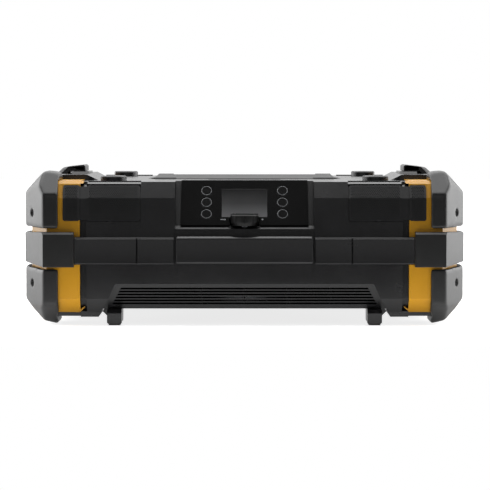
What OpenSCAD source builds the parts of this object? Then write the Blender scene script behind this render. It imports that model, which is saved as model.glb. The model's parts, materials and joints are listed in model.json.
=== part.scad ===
// Stackable jobsite radio: a folded black body between two end caps, wrapped in corner guards,
// with a leaning control pod, a fold-flat handle, two stacking latches and a rear battery bay.
// +X is the right side seen from the front, +Y is the back, +Z is up, z = 0 is the ground.

/* [Body] */
// Width over the corner guards
overall_w = 440; // [425:1:470]
// Depth from the front rail to the rear rail
overall_d = 332; // [322:1:360]
// Height of the flat top above the ground
top_z = 142; // [140:1:152]
// Height of the lowest edge of the base
base_z = 7.7; // [7:0.1:9]
// Height of the joint between the upper and the lower housing
joint_z = 75; // [73:0.5:77]
// Height of the arched underside between the legs
arch_z = 15.9; // [14:0.1:18]
// Wall of the housings
wall = 3.2; // [2.6:0.1:3.6]
// How far the front and rear faces stand back from the rails
face_inset = 8; // [7:0.5:10]
// Height of the leaning strip along the top edges
high_rise = 15.7; // [13:0.1:17]
// Lean of the strip along the top edges, in degrees
high_lean = 33.8; // [25:0.1:40]
// Height of the tucked-in strip along the bottom edges
low_rise = 13.9; // [12:0.1:16]
// Lean of the strip along the bottom edges, in degrees
low_lean = 36.2; // [28:0.1:40]
// Width of the groove between the body and an end cap
groove_w = 6.6; // [5:0.1:8]
// Depth of that groove
groove_depth = 7; // [5:0.5:9]
// Distance from the body's side to the raised arch below it
arch_in = 14.4; // [12:0.1:18]
// How far the skirt below the tucked-in strip is set back
skirt_in = 0.8; // [0.4:0.1:1.5]
// Slope of the bevel over each grille, in degrees
edge_slope = 25; // [20:1:35]
// Height of the lip behind that bevel
lip_rise = 1; // [0.6:0.1:1.4]

/* [End caps] */
// Width of an end cap
cap_w = 50; // [48:0.5:54]
// How far a cap's face stands back from the body's face
cap_recess = 2; // [1:0.1:3]
// How far a cap's top stands above the flat top
cap_rise = 0.9; // [0.6:0.1:2]
// Height of a cap's lower edge
cap_base_z = 12.4; // [11:0.1:14]
// Wall of an end cap
cap_wall = 3; // [2.4:0.1:3.6]
// Thickness of the lower housing's lip below a cap
skid_t = 3.9; // [3:0.1:4.5]

/* [Corner guards] */
// How far a guard stands out from the cap's side
guard_side_t = 7; // [5:0.5:9]
// Thickness of a guard over the slanted corner
guard_corner_t = 5; // [4:0.5:6]
// Width of a guard on the front face
guard_front_w = 36; // [32:0.5:40]
// Length of a guard along the side
guard_side_l = 75; // [60:1:85]
// Depth of a guard's front face behind the rail
guard_front_depth = 5; // [4:0.5:6]
// Width of the corner slant, seen from the front
slant_w = 21; // [18:0.5:24]
// Length of the corner slant, seen from the side
slant_l = 40; // [34:1:46]
// How far the upper guards stand above the flat top
guard_rise = 10.8; // [9:0.1:13]
// Height of the middle guards
mid_guard_h = 34.7; // [32:0.1:36]
// Gap between two guards of one corner
guard_gap = 2.8; // [2:0.1:5]
// Depth of a middle guard's front face behind the rail
mid_guard_depth = 2; // [1:0.5:4]
// Width of a middle guard on the front face
mid_guard_w = 51.5; // [50:0.5:56]
// Height of the slope below the upper guards' front face
guard_facet = 23; // [18:1:26]

/* [Rails] */
// Height of the rails
rail_h = 27.6; // [24:0.2:30]
// How much lower the side segments sit than the centre one
rail_drop = 0.9; // [0.5:0.1:2]
// Half width of the centre segment
rail_center_half = 67.5; // [64:0.5:68]
// Gap between neighbouring segments
rail_gap = 1.2; // [0.8:0.1:2]
// Width of the inner side segment
rail_inner_w = 36; // [30:0.5:42]
// Depth of the side segments behind the centre one
rail_step = 2.5; // [1.5:0.1:4]
// Height of the bevel along a rail's top edge
rail_bevel = 2.4; // [1.5:0.1:3]
// How far a rail's upper edge leans back from its middle
rail_crease = 1.6; // [1:0.1:2.5]
// How far the side rail stands out from the cap
side_rail_t = 5.5; // [4:0.5:6]

/* [Control pod] */
// Half width of the notch that the pod fills
notch_half = 69; // [68.5:0.1:72]
// Gap between the pod and the notch
notch_gap = 0.2; // [0.1:0.05:0.4]
// Half width of the glossy panel
panel_half = 63.5; // [60:0.5:65]
// Thickness of the glossy panel
panel_t = 2.4; // [2:0.1:3]
// How far the panel stands proud of the pod
panel_proud = 1.5; // [1:0.1:1.8]
// Depth of the panel's lower edge behind the rail
panel_low_depth = 16; // [15:0.5:18]
// Depth of the panel's upper edge behind the rail
panel_high_depth = 45; // [42:0.5:50]
// Height of the ledge below the panel over the rail's top
ledge_rise = 10.5; // [9.5:0.1:12]
// Height of the ledge's front edge over the rail's top
ledge_low_rise = 6.9; // [6:0.1:8]
// Depth of the pod's back
pod_depth = 62; // [58:0.5:66]
// Diameter of a button
button_d = 10.9; // [10:0.1:11.5]
// Gap between a button and its hole
button_gap = 0.25; // [0.2:0.05:0.4]
// Distance between neighbouring buttons
button_pitch = 13.6; // [13.4:0.1:14.4]
// Half distance between the two columns of buttons
button_x = 37.9; // [36.5:0.1:42]
// Travel of a button
button_travel = 0.8; // [0.5:0.1:1]
// Half width of the display window
window_half = 22.7; // [21:0.1:24]
// Height of the display window along the panel
window_h = 32.8; // [30:0.1:34]
// Diameter of the knob
knob_d = 28.6; // [26:0.1:30]
// Height of the knob
knob_h = 10.6; // [10:0.1:12]
// Number of finger flutes round the knob
knob_flutes = 20; // [16:1:24]
// Diameter of the knob's shaft
shaft_d = 6; // [5:0.1:7]

/* [Speakers] */
// Width of a speaker grille
grille_w = 77.9; // [74:0.1:79]
// Gap between a speaker grille and the corner guard
grille_out = 3.4; // [2.5:0.1:6]
// Height of a speaker grille
grille_h = 37.2; // [36:0.1:38.5]
// Distance from a grille's top edge to the flat top
grille_drop = 2.2; // [2:0.1:3]
// Thickness of a grille
grille_t = 2; // [1.6:0.1:2.2]
// Diameter of the holes in a grille
grille_hole_d = 3; // [2.4:0.1:3.2]
// Distance between the holes in a grille
grille_pitch = 4.6; // [4.4:0.1:5.2]
// Distance of a tweeter's middle from the body's side
tweeter_in = 22.9; // [22:0.1:26]
// Diameter of a tweeter's flange
tweeter_d = 37; // [34:0.5:38]
// Diameter of the woofer
woofer_d = 108; // [100:1:112]
// Distance of the woofer in front of the middle of the radio
woofer_front = 10; // [6:1:14]
// Number of ribs in the front louvre
louvre_ribs = 5; // [3:1:6]
// Gap between the louvre's lower corner and the end of the arch
louvre_in = 0.4; // [0.3:0.1:2]
// How much narrower the louvre is at its upper edge, at each end
louvre_slant = 13.7; // [10:0.1:16]
// Height of the louvre's upper edge above its lower one
louvre_rise = 25.4; // [23:0.2:27]
// How far the louvre's lower edge is tucked in
louvre_run = 12; // [10:0.5:13]

/* [Handle] */
// Half width of the handle over its arms
handle_half = 94; // [90:0.5:97]
// Width of a handle arm
arm_w = 14; // [12:0.5:18]
// Thickness of the grip, up and down
grip_h = 15; // [13:0.5:15.5]
// Width of the grip, front to back
grip_w = 22; // [20:0.5:25]
// Distance from the handle's pivot to the middle of the grip
handle_reach = 46; // [42:0.5:52]
// Distance of the handle's pivot behind the middle of the radio
handle_pivot_y = 36; // [30:0.5:38]
// Depth of the tray that the handle folds into
tray_depth = 24; // [22:0.5:26]
// Diameter of the handle's pivot pins
handle_pin_d = 6; // [5:0.1:7]

/* [Side latches] */
// Length of a side latch along the side
latch_l = 50; // [44:1:70]
// Thickness of a latch's plate
latch_t = 7.5; // [6:0.1:8]
// Diameter of a latch's pivot pin
latch_pin_d = 4; // [3:0.1:5]
// Height of a latch's hook over the flat top
latch_rise = 14.8; // [13.5:0.1:16]
// Height of the deck under a latch's hook over the flat top
deck_h = 5.6; // [4.5:0.1:6]
// Length of that deck, front to back
deck_l = 160; // [140:1:166]
// Radius of the deck's inner corners
deck_r = 12; // [8:1:18]
// Width of the ramp along the deck's inner side
deck_ramp = 11; // [8:1:14]

/* [Battery bay] */
// Half width of the battery door
door_half = 57.5; // [54:0.5:60]
// Height of the battery door's hinge
door_hinge_z = 36; // [34:0.5:38]
// Thickness of the battery door
door_t = 3; // [2.6:0.1:3.4]
// Height of the battery door's top edge
door_top_z = 121; // [116:0.5:121.5]
// Depth of the battery bay
bay_depth = 67; // [62:0.5:70]
// Wall of the battery bay
bay_wall = 2.5; // [2:0.1:2.8]

/* [Legs and studs] */
// Distance from the end of the arch to a leg's middle
leg_in = 13; // [12:0.1:16]
// Width of a leg
leg_w = 14.4; // [13:0.2:16]
// Length of a leg, front to back
leg_l = 34; // [30:1:38]
// Thickness of a rubber foot pad
pad_t = 2.5; // [2:0.1:3]
// Distance of a stacking stud's middle from the body's side
stud_in = 25.1; // [24:0.1:28]
// Distance of a stacking stud's middle behind the front rail
stud_back = 46.5; // [44:0.5:50]
// Diameter of a stacking stud
stud_d = 26; // [24:0.5:27]
// Height of a stacking stud
stud_h = 5.5; // [5:0.1:7]

/* [Hidden] */
$fn = 48;

black = "#26272a";
guard_black = "#2e2f31";
yellow = "#c98f2e";
gloss_black = "#141416";
steel = "#b8bcc0";
board_green = "#1f5a3a";
lens_grey = "#5a6064";

// Ends of a cut run this far past the solid that it cuts
over = 1;

// Main planes
half_w = overall_w / 2;
half_d = overall_d / 2;
face_y = half_d - face_inset;
cap_x = half_w - guard_side_t;
cap_joint_x = cap_x - cap_w;
body_x = cap_joint_x - groove_w;
guard_x = half_w - guard_front_w;
high_fold_z = top_z - high_rise;
low_fold_z = cap_base_z + low_rise;
arch_half = body_x - arch_in;
arch_flare = 3.1;
skirt_z = base_z + 4.9;
skirt_y = face_y - low_rise * tan(low_lean) - skirt_in;
cap_face_y = face_y - cap_recess;
cap_top_z = top_z + cap_rise;
floor_z = arch_z + wall;

// Rails and guards
rail_top_z = joint_z + rail_h / 2;
rail_bottom_z = joint_z - rail_h / 2;
mid_guard_top_z = joint_z + mid_guard_h / 2 + 0.3;
mid_guard_bottom_z = mid_guard_top_z - mid_guard_h;
upper_guard_z = mid_guard_top_z + guard_gap;
lower_guard_z = mid_guard_bottom_z - guard_gap * 0.7;
mid_bevel = 2.6;
guard_top_z = top_z + guard_rise;
rail_outer_x = half_w - mid_guard_w - 0.3;
slant_angle = atan(slant_w / slant_l);
// Height of the slope and of the hooked toe at the foot of a lower guard
toe_slope_z = 24;
toe_z = 0.3;
toe_facet_z = 20;

// Control pod: the panel's plane runs from (panel_low_depth, ledge_z) to (panel_high_depth, panel_top_z)
pod_bottom_z = rail_top_z - 3;
ledge_z = rail_top_z + ledge_rise;
ledge_low_z = rail_top_z + ledge_low_rise;
panel_top_z = top_z + 1.2;
panel_lean = atan((panel_high_depth - panel_low_depth) / (panel_top_z - ledge_z));
panel_l = (panel_top_z - ledge_z) / cos(panel_lean);
panel_tilt = 90 - panel_lean;
pod_half = notch_half - notch_gap;
pod_wall = 2.6;
window_low = (panel_l - window_h) / 2 - 0.6;
window_t = 1.2;
window_lip = 2;
module_half = window_half + 3;
module_t = 4.2;
board_back = 8.6;
board_t = 1.6;
board_half = 54;
button_low = panel_l / 2 - button_pitch + 0.1;
switch_d = 4;
knob_y = -(half_d - panel_low_depth);
knob_z = ledge_z - 0.6;
well_gap = 0.8;
well_r = knob_d / 2 + well_gap;
well_wall = 1.6;
well_floor_z = knob_z - 0.6;
well_top_z = knob_z + knob_h + well_gap;
shaft_gap = 0.05;
encoder_h = 6.5;
encoder_half = 5.2;
encoder_drop = 3;
encoder_z = well_floor_z - well_wall - encoder_drop;
panel_seat = 0.4;

// Speakers
grille_x1 = guard_x - grille_out;
grille_x0 = grille_x1 - grille_w;
tweeter_x = body_x - tweeter_in;
edge_seat = 3;
grille_z1 = top_z - grille_drop;
grille_z0 = grille_z1 - grille_h;
grille_gap = 0.2;
tweeter_z = top_z - wall - tweeter_d / 2 - 1.5;
tweeter_ring = 2.5;
tweeter_depth = face_inset + 13;
woofer_y = -woofer_front;
woofer_rim_t = 3;
woofer_hole_r = woofer_d / 2 - 6;
woofer_basket_z = floor_z + woofer_rim_t + 26;
woofer_magnet_h = 20;
louvre_t = 3;
louvre_lean = atan(louvre_run / louvre_rise);
louvre_l = louvre_rise / cos(louvre_lean);
louvre_low_y = -(face_y - louvre_run);
louvre_tilt = 90 + louvre_lean;
louvre_low_half = arch_half - louvre_in;
louvre_high_half = louvre_low_half - louvre_slant;
louvre_frame = 4.3;
louvre_side = 7.7;
louvre_rib = 1.3;
louvre_gap = 0.2;

// Handle and its tray
tray_z = top_z - tray_depth;
tray_gap = 4;
tray_half = handle_half + tray_gap;
tray_wall = 2.6;
pin_boss_r = 4.6;
pin_boss_l = 10;
handle_z = top_z - grip_h / 2 + 2.5;
grip_y = handle_pivot_y - handle_reach;
tray_seam = 0.1;
tray_flange = 4;
tray_back_y = handle_pivot_y + 16;
tray_front_y = grip_y - grip_w / 2 - 3;
scoop_half = 37.8;
scoop_l = 22;
scoop_front_y = tray_front_y - scoop_l;
end_grip_half = handle_half - 22;
grip_rise = 2;
end_grip_rise = 2.8;
grip_lean = 3.7;
pin_gap = 0.06;
fixed_gap = 0.02;
tray_lift = 0.4;

// Side latch, seen from the front on the right side
latch_pivot_x = cap_x - 6;
latch_pivot_z = mid_guard_top_z + 7.8;
latch_barrel_r = 5.5;
latch_plate_x = cap_x - 1.5;
latch_inner_x = latch_plate_x - latch_t;
latch_top_z = top_z + latch_rise;
latch_tip_x = cap_joint_x + 3.4;
deck_z = top_z + deck_h;
deck_x = cap_joint_x - 13.5;
deck_outer_x = latch_inner_x - 12;
latch_room_x = latch_inner_x - 20.8;
hook_hollows = 3;
hook_pitch = 5.2;
hook_hollow_d = 3.5;
latch_skin = 4.4;
pad_rise = 2.3;
pad_z = deck_z + pad_rise;
latch_gap = 0.5;
latch_under_z = pad_z + latch_gap;
latch_hook_x = latch_inner_x - 21;
latch_shoulder_z = latch_under_z - 21;
// Sum of x and z along the latch's slanted outer face
latch_outer_sum = latch_hook_x + latch_under_z + latch_skin * sqrt(2);
recess_x = latch_pivot_x - latch_barrel_r - 1.5;
recess_half = latch_l / 2 + 0.6;
recess_z = latch_pivot_z - latch_barrel_r - 1;
recess_wall = 3;
latch_pin_l = latch_l + 2 * (recess_wall + 0.5);

// Battery bay and door
door_r = door_t / 2 + 2;
door_hinge_y = face_y - door_r;
door_gap = 0.3;
bay_half = door_half + 2.5;
bay_back_y = face_y - wall;
bay_front_y = bay_back_y - bay_depth;
bay_low_z = door_hinge_z - door_r - 1.5;
bay_high_z = door_top_z + 1.5;
trunnion_d = 4;
terminal_t = 9;

// Skirt, edges and end caps
skid_y = cap_face_y - low_rise * tan(low_lean) - 0.3;
skid_x = cap_joint_x + 27;
field_proud = 1;
window_in = 18;
edge_z = grille_z1 + grille_gap;
edge_run = (top_z - edge_z) / tan(edge_slope);
cap_edge_run = (cap_top_z - edge_z) / tan(edge_slope + 6);
edge_x1 = body_x - 0.9;
step_z = top_z - 5.4;
step_run = 5;
tongue_l = 3.5;
tongue_low_z = top_z - 1.7;

// Legs and inner parts
leg_x = arch_half - leg_in;
stud_x = body_x - stud_in;
stud_y = half_d - stud_back;
leg_front_depth = face_inset;
leg_top_z = arch_z;
pad_recess = 1;
pad_inset = 1.2;
screw_head_r = 3;
screw_r = 1.6;
screw_head_h = 2;
screw_l = 8;
screw_hole_r = 3.25;
screw_along = 0.62;
upper_screw_z = upper_guard_z + 15.4;
lower_screw_z = lower_guard_z - 15;
main_board_z = tray_z - tray_wall - 24;
board_half_w = handle_half - 8;
board_front_y = tray_front_y - 20;
board_back_y = tray_back_y - 4;
post_x = board_half_w - 14;
post_r = 4;
sink_h = 10;
supply_x0 = bay_half + bay_wall + 8;
supply_x1 = body_x - wall - 8;
supply_w = supply_x1 - supply_x0;
supply_y = bay_back_y - 95;
supply_l = 68;
supply_h = 32;
inlet_x = body_x - 48.4;
inlet_z = rail_bottom_z - 17.2;
inlet_half = 12.8;
inlet_half_h = 8.3;
inlet_l = 18;
inlet_gap = 0.2;
inlet_rim = 2.7;
terminal_half = 32;
terminal_z = bay_low_z + 31;

// A depth behind the front rail as a y coordinate
function at_depth(depth) = depth - half_d;
// Every edge of a polygon, listed anticlockwise, moved inwards by t
function unit(v) = v / norm(v);
function left_of(v) = [-v.y, v.x];
function meet(p, d, q, e) = p + d * (cross(q - p, e) / cross(d, e));
function inset(pts, t) = [
    for (i = [0 : len(pts) - 1])
        let (before = pts[(i + len(pts) - 1) % len(pts)], here = pts[i], after = pts[(i + 1) % len(pts)],
             d = unit(here - before), e = unit(after - here))
        meet(before + left_of(d) * t, d, here + left_of(e) * t, e)
];
// Section of the upper half: straight to its fold, then leaning in to its top
function upper_section(half, z0, z1) = let (run = (z1 - high_fold_z) * tan(high_lean)) [
    [-half, z0], [half, z0], [half, high_fold_z], [half - run, z1], [run - half, z1], [-half, high_fold_z]
];
// Section of the lower half: tucked in below its fold
function lower_section(half, z0, z1) = let (run = (low_fold_z - z0) * tan(low_lean)) [
    [run - half, z0], [half - run, z0], [half, low_fold_z], [half, z1], [-half, z1], [-half, low_fold_z]
];
// The y of the leaning strip on the front at a height, for a body of that half depth
function high_face_y(half, z) = (z - high_fold_z) * tan(high_lean) - half;
function groove_y(z) = high_face_y(face_y - groove_depth, z);
// Whole section of an end cap
function cap_section() = let (low_run = low_rise * tan(low_lean), high_y = high_face_y(cap_face_y, cap_top_z)) [
    [low_run - cap_face_y, cap_base_z], [cap_face_y - low_run, cap_base_z], [cap_face_y, low_fold_z],
    [cap_face_y, high_fold_z], [-high_y, cap_top_z], [high_y, cap_top_z],
    [-cap_face_y, high_fold_z], [-cap_face_y, low_fold_z]
];
// Points on the line of the corner slant, moved inwards by t: where it meets a depth, and where it meets an x
function slant_x(depth, front, t) =
    half_w - slant_w + slant_w * (depth - front - t * sin(slant_angle)) / slant_l - t * cos(slant_angle);
function slant_depth(x, front, t) =
    front + slant_l * (x - half_w + slant_w + t * cos(slant_angle)) / slant_w + t * sin(slant_angle);

// An outline in (y, z) extruded from x0 to x1
module along_x(x0, x1) translate([x0, 0, 0]) rotate([90, 0, 90]) linear_extrude(x1 - x0) children();
// An outline in (x, z) extruded from y0 to y1
module along_y(y0, y1) translate([0, y1, 0]) rotate([90, 0, 0]) linear_extrude(y1 - y0) children();
// An outline in (x, y) extruded from z0 to z1
module along_z(z0, z1) translate([0, 0, z0]) linear_extrude(z1 - z0) children();
// A box between two corners
module block(a, b) translate(a) cube(b - a);
// A rectangle with round corners between two corners
module soft_rect(a, b, r) {
    translate([a.x + r, a.y]) square([b.x - a.x - 2 * r, b.y - a.y]);
    translate([a.x, a.y + r]) square([b.x - a.x, b.y - a.y - 2 * r]);
    for (x = [a.x + r, b.x - r], y = [a.y + r, b.y - r]) translate([x, y]) circle(r);
}
// A copy on the chosen side: 1 or -1 across x, and 1 or -1 across y; the first corner is front right
module corner(side, end) mirror([side < 0 ? 1 : 0, 0, 0]) mirror([0, end < 0 ? 1 : 0, 0]) children();
module four_corners() for (side = [1, -1], end = [1, -1]) corner(side, end) children();
module both_sides() for (side = [1, -1]) corner(side, 1) children();
// A cylinder along y or along x
module rod_y(x, z, r, y0, y1) translate([x, y1, z]) rotate([90, 0, 0]) cylinder(r = r, h = y1 - y0);
module rod_x(y, z, r, x0, x1) translate([x0, y, z]) rotate([0, 90, 0]) cylinder(r = r, h = x1 - x0);
// The panel's own frame: x across, y up the slope, z out of the panel
module on_panel() translate([0, at_depth(panel_low_depth), ledge_z]) rotate([panel_tilt, 0, 0]) children();
// The louvre's own frame: x across, y up the slope, z out of the louvre
module on_louvre() translate([0, louvre_low_y, arch_z]) rotate([louvre_tilt, 0, 0]) children();
// The frame of a guard screw on the front right corner: z points out of the slant
module on_slant(z) translate([slant_x(guard_front_depth + slant_l * screw_along, guard_front_depth, 0),
    at_depth(guard_front_depth + slant_l * screw_along), z]) rotate([0, 90, -slant_angle]) children();

// ---- Housings ----
// Outline of the notch that the pod stands in, in (y, z)
module notch_outline() polygon([
    [-half_d - over, pod_bottom_z], [at_depth(pod_depth), pod_bottom_z],
    [at_depth(pod_depth), top_z + over], [-half_d - over, top_z + over]
]);

// Plate of a speaker grille on the front right, from grille_t deep to a distance out of the face
module grille_band(x0, x1, z0, z1, r, out = 0) {
    lean_y = high_face_y(face_y, z1);
    intersection() {
        along_x(x0, x1) polygon([
            [-face_y - out, z0], [-face_y - out, high_fold_z],
            [lean_y - out * cos(high_lean), z1 + out * sin(high_lean)],
            [lean_y + grille_t * cos(high_lean), z1 - grille_t * sin(high_lean)],
            [grille_t - face_y, high_fold_z - grille_t * tan(high_lean / 2)], [grille_t - face_y, z0]
        ]);
        along_y(-half_d - over, 0) soft_rect([x0, z0], [x1, z1], r);
    }
}

// Plan of the tray that the handle folds into, grown by t
module tray_plan(t) {
    soft_rect([-tray_half - t, tray_front_y - t], [tray_half + t, tray_back_y + t], 4 + t);
    soft_rect([-scoop_half - t, scoop_front_y - t], [scoop_half + t, tray_front_y + 10], 4 + t);
}

module top_housing() color(black) {
    difference() {
        union() {
            difference() {
                union() {
                    along_x(-body_x, body_x) polygon(upper_section(face_y, joint_z, top_z));
                    along_x(-cap_joint_x, cap_joint_x)
                        polygon(upper_section(face_y - groove_depth, joint_z, top_z));
                }
                along_x(-body_x + wall, body_x - wall)
                    polygon(inset(upper_section(face_y, joint_z - 2 * wall, top_z), wall));
            }
            // Bosses for the handle's pins
            both_sides() rod_x(handle_pivot_y, handle_z, pin_boss_r, tray_half + tray_wall + tray_seam,
                tray_half + pin_boss_l);
            // Cheeks of the notch
            both_sides() intersection() {
                along_x(notch_half, notch_half + wall) polygon(upper_section(face_y, joint_z, top_z));
                block([notch_half - over, -half_d, joint_z], [half_w, at_depth(pod_depth) + wall, top_z]);
            }
            // Rings that carry the tweeters
            four_corners() intersection() {
                rod_y(tweeter_x, tweeter_z, tweeter_d / 2, -half_d, at_depth(tweeter_depth));
                along_x(0, body_x) polygon(upper_section(face_y, joint_z, top_z));
            }
            // Lips behind the bevels over the grilles
            four_corners() block([grille_x0, high_face_y(face_y, edge_z) + edge_run + 0.4, top_z - over],
                [edge_x1 - 0.6, high_face_y(face_y, edge_z) + edge_run + 4, top_z + lip_rise]);
            // Stacking studs with a bevelled rim
            four_corners() translate([stud_x, -stud_y, top_z - over]) {
                cylinder(d = stud_d, h = stud_h + over - 1);
                translate([0, 0, stud_h + over - 1]) cylinder(d1 = stud_d, d2 = stud_d - 2, h = 1);
            }
        }
        // Opening for the handle's tray
        along_z(top_z - 2 * wall, top_z + lip_rise + over) tray_plan(tray_wall + tray_seam);
        // Bevelled step at the top of each groove, and bevels over the grilles
        four_corners() along_x(body_x, cap_joint_x + over) polygon([
            [groove_y(step_z), step_z], [groove_y(step_z) + step_run, step_z + 3],
            [groove_y(step_z) + step_run, top_z + over], [-face_y, top_z + over], [-face_y, step_z]
        ]);
        four_corners() along_x(grille_x0 - grille_gap, edge_x1) polygon([
            [high_face_y(face_y, edge_z), edge_z], [high_face_y(face_y, edge_z) + edge_run, top_z],
            [high_face_y(face_y, edge_z) + edge_run, top_z + over], [-face_y, top_z + over], [-face_y, edge_z]
        ]);
        both_sides() rod_x(handle_pivot_y, handle_z, handle_pin_d / 2 + fixed_gap,
            tray_half - over, tray_half + pin_boss_l + over);
        along_x(-notch_half, notch_half) notch_outline();
        four_corners() {
            grille_band(grille_x0 - grille_gap, grille_x1, grille_z0 - grille_gap, grille_z1 + grille_gap, 2,
                edge_seat);
            rod_y(tweeter_x, tweeter_z, tweeter_d / 2 - tweeter_ring, -half_d, at_depth(tweeter_depth) + over);
        }
        // Opening for the battery door
        along_y(face_y - 2 * wall, half_d) soft_rect([-door_half - door_gap, 0], [door_half + door_gap,
            door_top_z + door_gap], 3);
    }
}

// Tray that the handle folds into, held by a flange under the top
module handle_tray() color(black) difference() {
    union() {
        along_z(tray_z - tray_wall, top_z) tray_plan(tray_wall);
        difference() {
            along_z(top_z - wall - tray_wall, top_z - wall) tray_plan(tray_wall + tray_flange);
            // Room for the pins' bosses
            both_sides() block([tray_half + tray_wall, handle_pivot_y - pin_boss_r - over, 0],
                [half_w, handle_pivot_y + pin_boss_r + over, top_z]);
        }
        // Posts that carry the main board
        for (x = [-post_x, post_x], y = [tray_front_y + 8, tray_back_y - 12])
            translate([x, y, main_board_z + board_t])
                cylinder(r = post_r, h = tray_z - tray_wall - main_board_z - board_t + over);
    }
    difference() {
        along_z(tray_z, top_z + over) tray_plan(0);
        // Rest pads under the handle's ends
        both_sides() block([end_grip_half + 4, grip_y - 6, tray_z - over], [handle_half - 4, grip_y + 6,
            handle_z - grip_h / 2 - tray_lift]);
    }
    both_sides() rod_x(handle_pivot_y, handle_z, handle_pin_d / 2 + fixed_gap,
        tray_half - over, tray_half + pin_boss_l + over);
}

module louvre_outline(low, high, y0, y1) polygon([[-low, y0], [low, y0], [high, y1], [-high, y1]]);

module base_housing() color(black) {
    difference() {
        union() {
            along_x(-body_x, body_x) polygon(lower_section(face_y, cap_base_z, joint_z));
            along_x(-cap_joint_x, cap_joint_x)
                polygon(lower_section(face_y - groove_depth, cap_base_z, joint_z));
            // Skirt, and its lip below the caps
            block([-cap_joint_x, -skirt_y, base_z], [cap_joint_x, skirt_y, cap_base_z + over]);
            both_sides() block([cap_joint_x - over, -skid_y, cap_base_z - skid_t], [skid_x, skid_y, cap_base_z]);
            // Raised field above the louvre
            block([-rail_center_half + 1.5, -face_y - field_proud, arch_z + louvre_rise + 1],
                [rail_center_half - 1.5, -face_y + wall, rail_bottom_z]);
        }
        // Hollow of the housing
        intersection() {
            along_x(-body_x + wall, body_x - wall)
                polygon(inset(lower_section(face_y, cap_base_z, joint_z + 2 * wall), wall));
            block([-half_w, -half_d, floor_z], [half_w, half_d, joint_z + over]);
        }
        // Arch between the legs
        along_y(-half_d, half_d) polygon([
            [-arch_half - arch_flare, 0], [arch_half + arch_flare, 0], [arch_half + arch_flare, base_z],
            [arch_half, skirt_z], [arch_half, arch_z], [-arch_half, arch_z], [-arch_half, skirt_z],
            [-arch_half - arch_flare, base_z]
        ]);
        // Seat and port of the louvre
        on_louvre() {
            translate([0, 0, -louvre_t]) linear_extrude(louvre_t + 30) {
                louvre_outline(louvre_low_half + louvre_gap, louvre_high_half + louvre_gap, 0,
                    louvre_l + louvre_gap);
                block_plan([-louvre_low_half - louvre_gap, -30], [louvre_low_half + louvre_gap, 0]);
            }
            translate([0, 0, -louvre_t - 12]) linear_extrude(13)
                louvre_outline(louvre_low_half - 8, louvre_high_half - 5, 4, louvre_l - 3);
        }
        // Woofer opening and the seat of its grille
        translate([0, woofer_y, arch_z - over]) {
            cylinder(r = woofer_hole_r, h = 3 * wall);
            cylinder(r = woofer_d / 2 + grille_gap, h = 1.5 + over);
        }
        // Opening for the battery door, and room for its trunnions
        block([-door_half - door_gap, face_y - 2 * wall, door_hinge_z - door_r - door_gap],
            [door_half + door_gap, half_d, top_z]);
        rod_x(door_hinge_y, door_hinge_z, trunnion_d / 2 + door_gap, -bay_half - bay_wall, bay_half + bay_wall);
        // Opening for the power inlet
        along_y(face_y - 2 * wall, half_d) soft_rect(
            [inlet_x - inlet_half - inlet_gap, inlet_z - inlet_half_h - inlet_gap],
            [inlet_x + inlet_half + inlet_gap, inlet_z + inlet_half_h + inlet_gap], 3);
    }
}

// ---- End caps ----
// Plan of a cap on the right side, with slanted corners under the guards
module cap_plan(t) {
    near = at_depth(slant_depth(cap_x, guard_front_depth, guard_corner_t));
    tip = slant_x(half_d - cap_face_y, guard_front_depth, guard_corner_t);
    polygon(inset([[cap_joint_x, -cap_face_y], [tip, -cap_face_y], [cap_x, near], [cap_x, -near],
        [tip, cap_face_y], [cap_joint_x, cap_face_y]], t));
}

// Front view of a cap, with slopes that follow the guards
module cap_front(t) {
    shift = guard_corner_t * sqrt(2);
    high = half_w + guard_top_z - slant_w - shift;
    low = half_w - toe_slope_z - shift;
    polygon(inset([[cap_joint_x, cap_base_z], [low + cap_base_z, cap_base_z], [cap_x, cap_x - low],
        [cap_x, high - cap_x], [high - cap_top_z, cap_top_z], [cap_joint_x, cap_top_z]], t));
}

module cap_body(t = 0) intersection() {
    along_x(cap_joint_x - over, half_w) polygon(inset(cap_section(), t));
    along_z(0, guard_top_z) cap_plan(t);
    along_y(-half_d, half_d) cap_front(t);
}

// Space round a latch, from above its barrel to the open air
module latch_recess(t) along_y(-recess_half - t, recess_half + t) polygon([
    [recess_x - t, recess_z - t], [half_w, recess_z - t], [half_w, latch_top_z + 20],
    [latch_inner_x - 20.4 - t, latch_top_z + 20], [latch_inner_x - 20.4 - t, latch_under_z - 4],
    [recess_x - t, latch_shoulder_z - 2]
]);

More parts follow.
